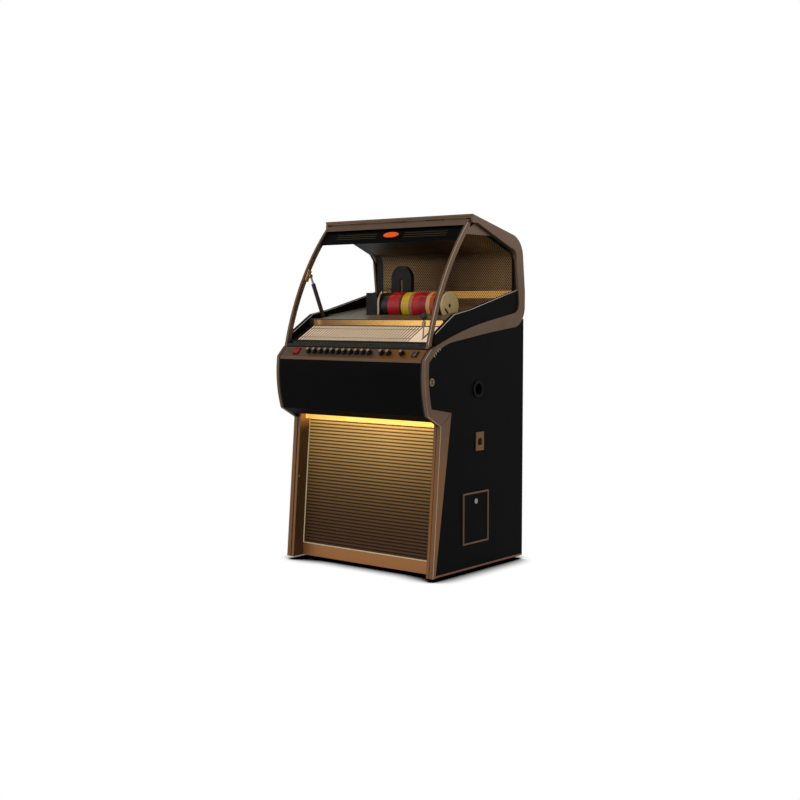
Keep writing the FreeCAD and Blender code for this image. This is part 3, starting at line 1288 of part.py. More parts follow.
doc.recompute()
faults = [thing.Label for thing in doc.Objects if "Invalid" in thing.State or "Error" in thing.State]
for thing in nodes:
    if thing.Shape.isNull() or not thing.Shape.isValid():
        faults.append(thing.Label)
if faults:
    raise RuntimeError("these did not build: " + ", ".join(faults))
os.makedirs("parts", exist_ok=True)
for thing in nodes:
    thing.Shape.exportStep("parts/%s.step" % thing.Label)
    print(thing.Label, len(thing.Shape.Solids), "solids", round(thing.Shape.Volume / 1000, 1), "cm3")
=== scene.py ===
import math
import bpy
import bmesh
from mathutils import Vector, Matrix


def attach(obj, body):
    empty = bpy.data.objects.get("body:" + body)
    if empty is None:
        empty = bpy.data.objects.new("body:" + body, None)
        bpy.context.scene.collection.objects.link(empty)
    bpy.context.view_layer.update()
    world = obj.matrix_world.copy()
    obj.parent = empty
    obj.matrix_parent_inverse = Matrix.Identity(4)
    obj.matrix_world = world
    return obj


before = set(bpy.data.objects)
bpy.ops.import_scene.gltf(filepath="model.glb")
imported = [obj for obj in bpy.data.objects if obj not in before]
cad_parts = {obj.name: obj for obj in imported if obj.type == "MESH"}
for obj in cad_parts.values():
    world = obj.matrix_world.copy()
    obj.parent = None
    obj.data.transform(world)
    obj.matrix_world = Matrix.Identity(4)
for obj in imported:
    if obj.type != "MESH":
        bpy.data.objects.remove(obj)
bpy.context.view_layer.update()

print("frame loaded,", len(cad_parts), "nodes")

mm = 0.001
baseFront = -0.2966  # where the lower front edge is, behind which reaches are measured
footHeight = 0.015


# a place from its x, its reach behind the lower front edge and its height above the underside, in mm
def spot(x, reach, height):
    return Vector((x * mm, baseFront + reach * mm, footHeight + height * mm))


# a socket that can be used in plain sums
class Wire:
    def __init__(self, tree, socket):
        self.tree, self.socket = tree, socket

    def sums(self, operation, first, second):
        return add(self.tree, "ShaderNodeMath", {"operation": operation}, {0: first, 1: second})

    def __add__(self, other): return self.sums("ADD", self, other)
    def __radd__(self, other): return self.sums("ADD", other, self)
    def __sub__(self, other): return self.sums("SUBTRACT", self, other)
    def __rsub__(self, other): return self.sums("SUBTRACT", other, self)
    def __mul__(self, other): return self.sums("MULTIPLY", self, other)
    def __truediv__(self, other): return self.sums("DIVIDE", self, other)
    def __gt__(self, other): return self.sums("GREATER_THAN", self, other)
    def __lt__(self, other): return self.sums("LESS_THAN", self, other)
    def __pow__(self, other): return self.sums("POWER", self, other)
    def sine(self): return self.sums("SINE", self, 0.0)
    def size(self): return self.sums("ABSOLUTE", self, 0.0)
    def loop(self, length): return self.sums("FLOORED_MODULO", self, length)


# any node of a shader or geometry tree: its settings first, then its sockets
def add(tree, kind, settings=None, inputs=None, out=0):
    node = tree.nodes.new(kind)
    for name, value in (settings or {}).items():
        if name == "stops":
            ramp = node.color_ramp
            while len(ramp.elements) < len(value):
                ramp.elements.new(1.0)
            for element, (place, colour) in zip(ramp.elements, value):
                element.position, element.color = place, (*colour, 1.0)
        elif name == "blend":
            node.color_ramp.interpolation = value
        else:
            setattr(node, name, value)
    for key, value in (inputs or {}).items():
        if isinstance(value, Wire):
            tree.links.new(value.socket, node.inputs[key])
        else:
            node.inputs[key].default_value = value
    return Wire(tree, node.outputs[out])


def rgba(colour):
    return (*colour, 1.0)


# a blank material with its Principled shader joined up
def newFinish(name):
    material = bpy.data.materials.new(name)
    material.use_nodes = True
    tree = material.node_tree
    shader = tree.nodes["Principled BSDF"]
    place = add(tree, "ShaderNodeTexCoord", out=3)
    return material, tree, shader, place


def feed(tree, shader, **values):
    for name, value in values.items():
        socket = shader.inputs[name.replace("_", " ")]
        if isinstance(value, Wire):
            tree.links.new(value.socket, socket)
        else:
            socket.default_value = value


def noise(tree, place, scale, detail=3.0, roughness=0.55, stretch=None):
    if stretch:
        place = add(tree, "ShaderNodeMapping", inputs={"Vector": place, "Scale": stretch})
    return add(tree, "ShaderNodeTexNoise", inputs={
        "Vector": place, "Scale": scale, "Detail": detail, "Roughness": roughness})


def mix(tree, share, first, second):
    node = tree.nodes.new("ShaderNodeMix")
    node.data_type = "RGBA"
    for key, value in ((0, share), (6, first), (7, second)):
        if isinstance(value, Wire):
            tree.links.new(value.socket, node.inputs[key])
        else:
            node.inputs[key].default_value = value if key == 0 else rgba(value)
    return Wire(tree, node.outputs[2])


def bump(tree, height, strength, distance):
    return add(tree, "ShaderNodeBump", inputs={"Height": height, "Strength": strength, "Distance": distance})


def clamp(tree, value):
    return add(tree, "ShaderNodeClamp", inputs={0: value})


def parts(tree, place):
    node = tree.nodes.new("ShaderNodeSeparateXYZ")
    tree.links.new(place.socket, node.inputs[0])
    return [Wire(tree, socket) for socket in node.outputs]


# a place's height above the floor, from its height above the underside in mm
def lift(height):
    return footHeight + height * mm


# heights in mm where one covering gives way to another and where the posts' painted lamp glow begins, and
# half widths in metres that bound them
seams = {"console": 862, "trimLow": 606, "trimHigh": 915, "lidFoot": 929, "leverBall": 1026, "postGlow": 540}
insides = {"trim": 0.3865, "post": 0.3635, "lid": 0.3755}


# Each look gives the colour, roughness, metal and relief of one covering.
# black vinyl covering: pebbled grain, a little dust in the hollows
vinyl = {"colour": (0.0013, 0.0012, 0.0012), "worn": (0.004, 0.0036, 0.0033), "grain": 750.0,
         "roughness": 0.55}


def vinylLook(tree, place):
    cells = add(tree, "ShaderNodeTexVoronoi", {"feature": "SMOOTH_F1"},
                {"Vector": place, "Scale": vinyl["grain"]})
    broad = noise(tree, place, 6.0, 4.0)
    fine = noise(tree, place, 240.0, 2.0)
    return {"colour": mix(tree, broad * 0.5 + cells * 0.3, vinyl["colour"], vinyl["worn"]),
            "roughness": vinyl["roughness"] + fine * 0.12 - broad * 0.06, "metal": broad * 0.0,
            "relief": cells * 0.8 + fine * 0.3}


# satin bronze lacquer: fine drawn lines and cloudy tone, with a painted lamp glow that makes it warmer low
# down, in a brighter orange on the kick rail
bronze = {"colour": (0.125, 0.074, 0.043), "pale": (0.215, 0.132, 0.08), "roughness": 0.4, "metal": 0.45,
          "warm": (0.3, 0.13, 0.046), "kick": (0.52, 0.23, 0.08), "warmTop": 660, "warmRun": 0.25,
          "across": (2.0, 1800.0, 1800.0)}


def bronzeLook(tree, place, stretch=(60.0, 60.0, 2600.0), warm=0.7, lit="warm"):
    x, y, z = parts(tree, place)
    drawn = noise(tree, place, 1.0, 2.0, stretch=stretch)
    cloud = noise(tree, place, 9.0, 3.0)
    speck = noise(tree, place, 900.0, 1.0)
    # painted lamp glow: its share grows lower down
    low = clamp(tree, (lift(bronze["warmTop"]) - z) / bronze["warmRun"])
    tone = mix(tree, cloud * 0.55 + drawn * 0.35, bronze["colour"], bronze["pale"])
    return {"colour": mix(tree, low * warm, tone, bronze[lit]), "metal": bronze["metal"] + cloud * 0.1,
            "roughness": bronze["roughness"] + drawn * 0.16 - cloud * 0.08, "relief": drawn + speck * 0.3}


# painted deck with rows of small punched holes; a painted warm reflection makes it browner to the right
deck = {"teal": (0.24, 0.215, 0.155), "brown": (0.15, 0.088, 0.038), "dark": (0.02, 0.02, 0.016),
        "pitch": 0.0085, "hole": 0.3, "lip": 127}


def deckLook(tree, place):
    x, y, z = parts(tree, place)
    across, along = (x / deck["pitch"]).loop(1.0) - 0.5, (y / deck["pitch"]).loop(1.0) - 0.5
    hole = (across * across + along * along) < deck["hole"] ** 2
    # painted warm reflection: browner towards the right
    share = clamp(tree, (x + 0.14) / 0.2)
    cloud = noise(tree, place, 11.0, 3.0)
    sheet = mix(tree, share * 0.8 + cloud * 0.2, deck["teal"], deck["brown"])
    sheet = mix(tree, y < spot(0, deck["lip"], 0).y, sheet, deck["dark"])
    return {"colour": mix(tree, hole, sheet, deck["dark"]), "roughness": 0.35 + cloud * 0.12,
            "metal": cloud * 0.0, "relief": 1.0 - hole}


# moulded plastic with a fine spark-eroded texture
def plasticLook(tree, place, colour=(0.0045, 0.0045, 0.0045), roughness=0.45):
    spark = noise(tree, place, 1600.0, 1.0)
    cloud = noise(tree, place, 18.0, 3.0)
    second = tuple(min(1.0, c * 1.5 + 0.002) for c in colour)
    return {"colour": mix(tree, cloud * 0.5, colour, second), "roughness": roughness + cloud * 0.1,
            "metal": cloud * 0.0, "relief": spark * 0.5}


# plated metal, polished or brushed
def platedLook(tree, place, colour=(0.82, 0.82, 0.82), roughness=0.08, stretch=(2000.0, 40.0, 40.0)):
    lines = noise(tree, place, 1.0, 2.0, stretch=stretch)
    smear = noise(tree, place, 25.0, 3.0)
    return {"colour": mix(tree, smear * 0.4, colour, tuple(c * 0.8 for c in colour)),
            "metal": 1.0 - smear * 0.02,
            "roughness": roughness + lines * roughness * 0.5 + smear * 0.04, "relief": lines * 0.4}


# one look all over, or a second one where a mask of x, y and z is 1
def paintWith(name, look, second=None, mask=None, specular=0.4, coat=0.0, strength=0.12):
    material, tree, shader, place = newFinish(name)
    made = look(tree, place)
    if second:
        share, other = mask(*parts(tree, place)), second(tree, place)
        made = {key: mix(tree, share, made[key], other[key]) if key == "colour"
                else made[key] + (other[key] - made[key]) * share for key in made}
    feed(tree, shader, Base_Color=made["colour"], Roughness=made["roughness"], Metallic=made["metal"],
         Normal=bump(tree, made["relief"], strength, 0.0004), Specular_IOR_Level=specular, Coat_Weight=coat)
    return material


# the console's covering stops below the bronze panel, which wraps over the brow
def consoleCover():
    return paintWith("consoleCover", vinylLook, bronzeAcrossLook, lambda x, y, z: z > lift(seams["console"]),
                     specular=0.05, strength=0.2)


def bronzeAcrossLook(tree, place):
    return bronzeLook(tree, place, bronze["across"])


# the control panel: painted warm light makes it golden at its right-hand end and greyer at the left, with a
# painted highlight along its top edge
panel = {"grey": (0.14, 0.085, 0.053), "gold": (0.25, 0.095, 0.014), "from": 0.12, "run": 0.09,
         "rim": (0.42, 0.22, 0.07), "rimLow": 907, "rimHigh": 911}


def panelLook(tree, place):
    look = bronzeAcrossLook(tree, place)
    x, y, z = parts(tree, place)
    # painted warm light: golden towards the right-hand end
    share = clamp(tree, (x - panel["from"]) / panel["run"])
    tone = mix(tree, share, panel["grey"], panel["gold"])
    # painted highlight: a pale gold line along the top edge
    rim = (z > lift(panel["rimLow"])) * (z < lift(panel["rimHigh"]))
    look["colour"] = mix(tree, rim * 0.6, mix(tree, 0.85, look["colour"], tone), panel["rim"])
    return look


def bronzeWarmLook(tree, place):
    return bronzeLook(tree, place, warm=0.95)


def bronzePaint(name, **options):
    def look(tree, place):
        return bronzeLook(tree, place, **options)
    return paintWith(name, look, specular=0.3)


# the trims' inner edge is covered in vinyl beside the console's nose and panel
def trimBronze():
    def beside(x, y, z):
        return (x.size() < insides["trim"]) * (z > lift(seams["trimLow"])) * (z < lift(seams["trimHigh"]))
    return paintWith("trimBronze", bronzeLook, vinylLook, beside, specular=0.3)


# the posts' inner returns are painted dark as painted shade in the recess, with a painted lamp glow near
# their top
def postBronze():
    def recessShade(tree, place):
        return plasticLook(tree, place, (0.075, 0.035, 0.012), 0.45)
    material = paintWith("postBronze", bronzeWarmLook, recessShade, lambda x, y, z: x.size() < insides["post"],
                         specular=0.3)
    tree = material.node_tree
    x, y, z = parts(tree, add(tree, "ShaderNodeTexCoord", out=3))
    # painted lamp glow: the inner returns glow orange near their top, below the lamp over the cloth
    near = clamp(tree, (z - lift(seams["postGlow"])) / 0.065)
    glow = mix(tree, near * near * (x.size() < insides["post"]), (0.0, 0.0, 0.0), (0.5, 0.17, 0.02))
    feed(tree, tree.nodes["Principled BSDF"], Emission_Color=glow, Emission_Strength=0.7)
    return material


# the lid's foot rail is black between its bronze posts
def lidBronze():
    def foot(x, y, z):
        return (x.size() < insides["lid"]) * (z < lift(seams["lidFoot"]))
    return paintWith("lidBronze", bronzeLook, plasticLook, foot, specular=0.3)


# a black ball on a tan stem
def leverFinish():
    def tan(tree, place):
        return platedLook(tree, place, (0.4, 0.28, 0.16), 0.35)
    return paintWith("leverFinish", tan, plasticLook, lambda x, y, z: z > lift(seams["leverBall"]),
                     specular=0.5, strength=0.05)


# a dull brass lock with a dark face and a bar across it
sideLock = {"reach": -3, "height": 785, "face": 9.5, "bar": 2.2}


def lockFinish():
    def brass(tree, place):
        return platedLook(tree, place, (0.3, 0.205, 0.125), 0.4)

    def onFace(x, y, z):
        dy, dz = y - (baseFront + sideLock["reach"] * mm), z - lift(sideLock["height"])
        return ((dy * dy + dz * dz) < (sideLock["face"] * mm) ** 2) * (dz.size() > sideLock["bar"] * mm)
    return paintWith("lockFinish", brass, plasticLook, onFace, strength=0.05)


# the disc rack is black, with a pale cheek at its right-hand end
drum = {"reach": 330, "height": 1086, "radius": 61, "cheek": 230.5}


def rackFinish():
    def pale(tree, place):
        return plasticLook(tree, place, (0.68, 0.52, 0.23), 0.4)

    def onCheek(x, y, z):
        dy, dz = y - (baseFront + drum["reach"] * mm), z - lift(drum["height"])
        return (x > drum["cheek"] * mm) * ((dy * dy + dz * dz) < (drum["radius"] * mm) ** 2)
    return paintWith("rackFinish", plasticLook, pale, onCheek)


# clear glazing: see-through from the front, with a smeared gloss towards the edge-on view
def clearGlazing():
    material, tree, shader, place = newFinish("clearGlazing")
    smear = noise(tree, place, 3.0, 2.0)
    feed(tree, shader, Base_Color=rgba((0.01, 0.01, 0.01)), Roughness=0.02 + smear * 0.03,
         Specular_IOR_Level=0.5)
    facing = add(tree, "ShaderNodeLayerWeight", inputs={"Blend": 0.5}, out=1)
    edgeOn = clamp(tree, (facing - 0.5) * 2.0)
    through = add(tree, "ShaderNodeBsdfTransparent", inputs={"Color": rgba((1, 1, 1))})
    output = tree.nodes["Material Output"]
    both = add(tree, "ShaderNodeMixShader", inputs={
        0: edgeOn * edgeOn * 0.5, 1: through, 2: Wire(tree, shader.outputs[0])})
    tree.links.new(both.socket, output.inputs[0])
    return material


# gold mesh over black: staggered round holes, black at the left; painted shade darkens it towards the top, in
# the middle and to the right, a painted shadow lies under the header at the top left, and a painted lamp glow
# lights a band
meshWall = {"pitch": 0.0115, "hole": 0.44, "gold": (0.47, 0.29, 0.122), "deep": (0.125, 0.064, 0.024),
            "dark": (0.004, 0.003, 0.002), "bandLow": 1121, "bandHigh": 1152, "glow": (1.0, 0.5, 0.115),
            "left": -0.34, "right": 0.372, "dimFrom": 1215, "dimRun": 0.17, "shadeFrom": 1275}


# distance from the nearest hole's middle, in staggered rows
def staggered(across, up):
    row = (up - up.loop(1.0)).loop(2.0)
    du, dv = (across + row * 0.5).loop(1.0) - 0.5, (up.loop(1.0) - 0.5) * 0.6
    return (du * du + dv * dv) ** 0.5


def goldMesh():
    material, tree, shader, place = newFinish("goldMesh")
    x, y, z = parts(tree, place)
    across, up = x / meshWall["pitch"], (z - y * 0.35) / (meshWall["pitch"] * 0.6)
    far = staggered(across, up)
    inside = (x > meshWall["left"]) * (x < meshWall["right"])
    wire = (far > meshWall["hole"] * 0.62) * inside
    cloud = noise(tree, place, 14.0)
    # painted shade: darker towards the top, in the middle and towards the right
    topShade = clamp(tree, (z - lift(meshWall["dimFrom"])) / meshWall["dimRun"])
    middle = clamp(tree, 1.0 - (x - 0.05).size() / 0.24)
    right = clamp(tree, (x + 0.05) / 0.5)
    shade = cloud * 0.25 + topShade * 0.45 + middle * 0.7 + right * 0.35
    gold = mix(tree, shade, meshWall["gold"], meshWall["deep"])
    # painted shadow under the header, at the top left
    high = clamp(tree, (z - lift(meshWall["shadeFrom"])) / 0.07)
    aside = clamp(tree, (0.2 - x) / 0.16)
    gold = mix(tree, high * aside * 0.85, gold, meshWall["dark"])
    # painted lamp glow: a band that glows, on the wire more than in the holes
    band = (z > lift(meshWall["bandLow"])) * (z < lift(meshWall["bandHigh"])) * inside
    feed(tree, shader, Base_Color=mix(tree, wire, meshWall["dark"], gold), Metallic=wire * 0.15,
         Roughness=0.42 + cloud * 0.14, Normal=bump(tree, far, 0.4, 0.002), Specular_IOR_Level=0.2,
         Emission_Color=mix(tree, band * (0.2 + wire * 0.8), (0.0, 0.0, 0.0), meshWall["glow"]),
         Emission_Strength=0.42)
    return material


# satin paint on sheet metal
def satinPaint(name, colour, roughness=0.4, orangePeel=420.0, specular=0.25):
    material, tree, shader, place = newFinish(name)
    peel = noise(tree, place, orangePeel, 2.0)
    cloud = noise(tree, place, 11.0, 3.0)
    second = tuple(min(1.0, c * 1.6 + 0.002) for c in colour)
    feed(tree, shader, Base_Color=mix(tree, cloud * 0.6, colour, second), Specular_IOR_Level=specular,
         Roughness=roughness + cloud * 0.12, Normal=bump(tree, peel, 0.08, 0.0004))
    return material


def mouldedPlastic(name, colour, roughness=0.45, coat=0.0, specular=0.25):
    def look(tree, place):
        return plasticLook(tree, place, colour, roughness)
    return paintWith(name, look, coat=coat, specular=specular, strength=0.05)


def platedMetal(name, colour, roughness):
    def look(tree, place):
        return platedLook(tree, place, colour, roughness)
    return paintWith(name, look, strength=0.05)


# cream title cards with faint ruled lines, their sides painted dark as painted shade between the strips, and
# a painted glow in their own colour as if lit from within the lid
titleCard = {"colour": (0.88, 0.68, 0.49), "shade": (0.76, 0.55, 0.37), "rule": (0.2, 0.12, 0.07),
             "edge": (0.05, 0.03, 0.017), "pitch": 0.0046, "lit": 0.42}


def creamCard():
    material, tree, shader, place = newFinish("creamCard")
    x, y, z = parts(tree, place)
    fibres = noise(tree, place, 700.0, 3.0)
    cloud = noise(tree, place, 20.0, 3.0)
    ruled = (y / titleCard["pitch"]).loop(1.0) < 0.16
    card = mix(tree, cloud * 0.6 + fibres * 0.2, titleCard["colour"], titleCard["shade"])
    card = mix(tree, ruled * 0.22, card, titleCard["rule"])
    face = parts(tree, add(tree, "ShaderNodeNewGeometry", out=1))
    # painted shade: faces that do not look upwards are dark
    card = mix(tree, face[2] < 0.5, card, titleCard["edge"])
    # painted glow: the cards give off light in their own colour
    feed(tree, shader, Base_Color=card, Roughness=0.55 + fibres * 0.15, Emission_Color=card,
         Emission_Strength=titleCard["lit"], Normal=bump(tree, fibres, 0.12, 0.0003))
    return material


# corded speaker cloth: gold ribs with painted shade in the hollows between them, golden near the top and
# brown at the foot as painted lamp light, and a painted lamp wash glowing on the upper ribs
cloth = {"gold": (0.7, 0.39, 0.125), "brown": (0.175, 0.077, 0.031), "hollow": (0.012, 0.007, 0.003),
         "thread": 0.0016, "low": 52, "high": 605, "ribs": 39,
         "glow": (0.75, 0.45, 0.14), "brightest": 0.08, "fade": 0.75}


def cordedCloth():
    material, tree, shader, place = newFinish("cordedCloth")
    x, y, z = parts(tree, place)
    threads = ((z * 0.998 + x * 0.04) * (math.tau / cloth["thread"])).sine() * 0.5 + 0.5
    twist = ((x + z * 0.6) * (math.tau / (cloth["thread"] * 2.2))).sine() * 0.5 + 0.5
    uneven = noise(tree, place, 1.0, 3.0, stretch=(14.0, 60.0, 260.0))
    weave = threads * 0.5 + twist * 0.3
    share = (z - lift(cloth["low"])) / ((cloth["high"] - cloth["low"]) * mm)
    crest = (share * cloth["ribs"]).loop(1.0) * (1.0 - (share * cloth["ribs"]).loop(1.0)) * 4.0
    # painted lamp light: the thread is golden near the top and brown at the foot
    lit = clamp(tree, share)
    thread = mix(tree, lit ** 1.6, cloth["brown"], cloth["gold"])
    thread = mix(tree, weave * 0.35 + uneven * 0.3, thread, cloth["hollow"])
    # painted lamp wash: the upper rib crests glow, most near the middle
    beside = 1.0 - (x - cloth["brightest"]).size() / cloth["fade"]
    wash = clamp(tree, lit ** 3.6 * beside * crest ** 1.4)
    # painted shade in the hollows between the ribs
    feed(tree, shader, Base_Color=mix(tree, crest ** 1.8, cloth["hollow"], thread),
         Roughness=0.62 + uneven * 0.2, Normal=bump(tree, weave, 0.45, 0.0008), Specular_IOR_Level=0.2,
         Emission_Color=mix(tree, wash, (0.0, 0.0, 0.0), cloth["glow"]), Emission_Strength=1.15)
    return material


# lamp behind a frosted strip; it may grow brighter along x, with a small glow near its start
# a one-way strip is dark on its back and shines through small round holes
glowHoles = {"across": 0.0075, "up": 0.0045, "hole": 0.34, "web": (0.12, 0.055, 0.012)}


def glowStrip(name, colour, strength, rise=None, start=0, oneWay=False):
    material, tree, shader, place = newFinish(name)
    x, y, z = parts(tree, place)
    frost = noise(tree, place, 260.0, 2.0)
    beads = (x * (math.tau / 0.016)).sine() * 0.5 + 0.5
    glow = mix(tree, beads * 0.35 + frost * 0.2, colour, tuple(min(1.0, c * 1.15) for c in colour))
    if rise:
        share = clamp(tree, (x - rise[0] * mm) / ((rise[1] - rise[0]) * mm))
        near = clamp(tree, 1.0 - (x - start * mm).size() / 0.03)
        unlit = (colour[0] * 0.09, colour[1] * 0.07, colour[2] * 0.08)
        glow = mix(tree, share ** 1.5 + near * near * 0.3, unlit, glow)
    if oneWay:
        face = parts(tree, add(tree, "ShaderNodeNewGeometry", out=1))
        web = staggered(x / glowHoles["across"], z / glowHoles["up"]) > glowHoles["hole"]
        glow = mix(tree, web * 0.6, glow, glowHoles["web"])
        glow = mix(tree, face[1] > 0.5, glow, (0.0, 0.0, 0.0))
    base = tuple(c * (0.08 if rise else 0.4) for c in colour)
    feed(tree, shader, Base_Color=rgba(base), Roughness=0.35 + frost * 0.2, Emission_Color=glow,
         Emission_Strength=strength)
    return material


# dark stained board with straight grain
def stainedBoard():
    material, tree, shader, place = newFinish("stainedBoard")
    grain = noise(tree, place, 1.0, 4.0, stretch=(9.0, 120.0, 120.0))
    pores = noise(tree, place, 1.0, 2.0, stretch=(40.0, 900.0, 900.0))
    feed(tree, shader, Base_Color=mix(tree, grain, (0.012, 0.01, 0.008), (0.045, 0.034, 0.025)),
         Roughness=0.55 + pores * 0.2, Specular_IOR_Level=0.3,
         Normal=bump(tree, grain + pores * 0.5, 0.2, 0.0006))
    return material


# discs in coloured carriers, in bands along the drum
discBands = [(-93, (0.006, 0.006, 0.006)), (-56, (0.58, 0.01, 0.018)), (7, (0.12, 0.006, 0.01)),
             (20, (0.85, 0.6, 0.008)), (58, (0.5, 0.2, 0.15)), (75, (0.62, 0.014, 0.012)),
             (113, (0.38, 0.01, 0.024)), (151, (0.85, 0.5, 0.17)), (171, (0.66, 0.07, 0.01)),
             (191, (0.006, 0.006, 0.007))]


def discCarriers():
    material, tree, shader, place = newFinish("discCarriers")
    x, y, z = parts(tree, place)
    low, span = discBands[0][0] * mm, 0.345
    stops = [((edge * mm - low) / span, colour) for edge, colour in discBands]
    band = add(tree, "ShaderNodeValToRGB", {"stops": stops, "blend": "CONSTANT"}, {"Fac": (x - low) / span})
    each = noise(tree, place, 1.0, 2.0, stretch=(300.0, 0.4, 0.4))
    feed(tree, shader, Base_Color=mix(tree, each * 0.35, band, (0.05, 0.01, 0.008)),
         Roughness=0.3 + each * 0.12, Coat_Weight=0.15, Specular_IOR_Level=0.3)
    return material


# red window of the lit rocker
def redRocker():
    material, tree, shader, place = newFinish("redRocker")
    x, y, z = parts(tree, place)
    cloud = noise(tree, place, 120.0, 2.0)
    # the lit rocker's glow, painted brightest across its middle as a painted highlight, leaving its ends dark
    # as painted shade
    middle = clamp(tree, 1.0 - (z - lift(897)).size() / 0.013)
    feed(tree, shader, Base_Color=mix(tree, cloud, (0.16, 0.002, 0.004), (0.24, 0.006, 0.007)),
         Roughness=0.3 + cloud * 0.1, Specular_IOR_Level=0.12,
         Emission_Color=mix(tree, middle, (0.0, 0.0, 0.0), (0.8, 0.012, 0.025)), Emission_Strength=0.3)
    return material


# black header with short dim gold pinstripes on either side of its lamp
header = {"middle": 1384, "stripes": (-9, 0, 9), "half": 0.9, "gold": (0.09, 0.065, 0.028),
          "from": 0.075, "to": 0.3}


def headerPaint():
    material, tree, shader, place = newFinish("headerPaint")
    x, y, z = parts(tree, place)
    stripes = 0.0
    for rise in header["stripes"]:
        away = (z - lift(header["middle"] + rise)).size()
        stripes = (away < header["half"] * mm) + stripes
    stripes = stripes * (x.size() > header["from"]) * (x.size() < header["to"])
    cloud = noise(tree, place, 15.0)
    feed(tree, shader, Base_Color=mix(tree, stripes, (0.0014, 0.0014, 0.0014), header["gold"]),
         Roughness=0.4 + cloud * 0.15, Metallic=stripes * 0.5, Specular_IOR_Level=0.03,
         Normal=bump(tree, stripes, 0.1, 0.0003))
    return material


# amber lens, dimly lit
def amberLens():
    material, tree, shader, place = newFinish("amberLens")
    flutes = noise(tree, place, 90.0, 2.0)
    feed(tree, shader, Base_Color=mix(tree, flutes, (0.35, 0.03, 0.003), (0.5, 0.07, 0.006)),
         Roughness=0.25 + flutes * 0.1, Specular_IOR_Level=0.1, Emission_Strength=0.6,
         Emission_Color=mix(tree, flutes, (0.8, 0.05, 0.003), (0.95, 0.12, 0.006)))
    return material


finishes = {
    "vinyl": paintWith("blackVinyl", vinylLook, specular=0.05, strength=0.25), "console": consoleCover(),
    "trim": trimBronze(), "lidBronze": lidBronze(), "post": postBronze(),
    # the bronze copies differ in how much painted lamp glow they carry low down; the kick rail's glow is a
    # brighter orange
    "bronze": bronzePaint("bronzeLacquer"), "bronzeDull": bronzePaint("bronzeDull", warm=0.1),
    "bronzeAcross": bronzePaint("bronzeAcross", stretch=bronze["across"]),
    "bronzeWarm": bronzePaint("bronzeWarm", warm=0.95),
    "bronzeKick": bronzePaint("bronzeKick", stretch=bronze["across"], warm=0.95, lit="kick"),
    # pale edge beads: their pale colour is a painted highlight along the rounded edges
    "edge": platedMetal("rubbedEdge", (0.62, 0.45, 0.3), 0.32), "lever": leverFinish(), "rack": rackFinish(),
    "glass": clearGlazing(), "mesh": goldMesh(),
    "paint": satinPaint("satinBlack", (0.0025, 0.0025, 0.0027), specular=0.08),
    "deck": paintWith("deckPaint", deckLook, specular=0.25),
    "plastic": mouldedPlastic("blackPlastic", (0.0045, 0.0045, 0.0045)),
    "gloss": mouldedPlastic("glossPlastic", (0.004, 0.004, 0.004), 0.16, 0.4),
    "card": creamCard(), "cloth": cordedCloth(),
    "light": glowStrip("warmStrip", (1.0, 0.58, 0.11), 1.5, (-760, -120), -363),
    "rubber": mouldedPlastic("footRubber", (0.006, 0.006, 0.006), 0.8),
    "board": stainedBoard(), "discs": discCarriers(),
    "chrome": platedMetal("chromePlate", (0.42, 0.42, 0.42), 0.2),
    "steel": platedMetal("brushedSteel", (0.4, 0.39, 0.37), 0.28),
    "gold": platedMetal("goldPlate", (0.46, 0.29, 0.13), 0.3),
    "amberGold": platedMetal("amberGold", (0.75, 0.42, 0.13), 0.35),
    "darkWire": satinPaint("darkWire", (0.035, 0.02, 0.008)), "lock": lockFinish(),
    "collar": platedMetal("collarMetal", (0.36, 0.29, 0.2), 0.4),
    "nut": platedMetal("nutMetal", (0.2, 0.2, 0.19), 0.32),
    "arch": platedMetal("archMetal", (0.42, 0.33, 0.2), 0.32),
    "panel": paintWith("panelBronze", panelLook, specular=0.12),
    "strutPaint": satinPaint("strutPaint", (0.045, 0.03, 0.019), 0.35),
    "red": redRocker(), "header": headerPaint(),
    "white": mouldedPlastic("whitePiping", (0.6, 0.57, 0.5), 0.45),
    "bead": satinPaint("beadPaint", (0.88, 0.66, 0.41)),
    "tick": satinPaint("tickPaint", (0.12, 0.11, 0.03)), "amber": amberLens(),
    "deckLight": glowStrip("deckGlow", (0.9, 0.5, 0.13), 1.6, (-330, 220), -318, True),
    "softLight": glowStrip("hiddenLamp", (1.0, 0.66, 0.3), 14.0),
}
print("finishes made,", len(finishes))

nodeFinish = {
    "vinyl": ["left_side_panel", "right_side_panel", "window_aprons", "cash_door"],
    "console": ["console_front"], "bronze": ["window_frames"], "bronzeDull": ["cash_compartment"],
    "bronzeKick": ["kick_rail"], "bronzeWarm": ["coin_return"], "trim": ["side_trims"],
    "lidBronze": ["lid_frame"],
    "bronzeAcross": ["roof_cap", "lid_hinge"], "panel": ["control_panel"], "post": ["front_posts"],
    "glass": ["side_windows", "lid_glass"], "mesh": ["back_wall"],
    "paint": ["amplifier", "woofers", "coin_entry"], "strutPaint": ["strut_cylinder"], "deck": ["deck_plate"],
    "plastic": ["display_strip", "title_rack", "mech_tower", "player_housing", "jack_sockets"],
    "rack": ["magazine_rack"], "lever": ["title_lever"],
    "card": ["title_strips"], "cloth": ["speaker_grille"], "light": ["grille_light"],
    "rubber": ["levelling_feet"],
    "board": ["base_board", "mech_shelf", "rear_panel", "speaker_baffle"], "discs": ["compact_discs"],
    "chrome": ["strut_rod"], "arch": ["transfer_arch"], "steel": ["player_spindle", "cash_door_lock"],
    "lock": ["side_lock"], "gloss": ["selector_knob_%02d" % n for n in range(1, 15)],
    "red": ["power_rocker"], "header": ["lid_header"],
}
for finish, names in nodeFinish.items():
    for name in names:
        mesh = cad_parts[name].data
        mesh.materials.clear()
        mesh.materials.append(finishes[finish])
print("nodes painted")


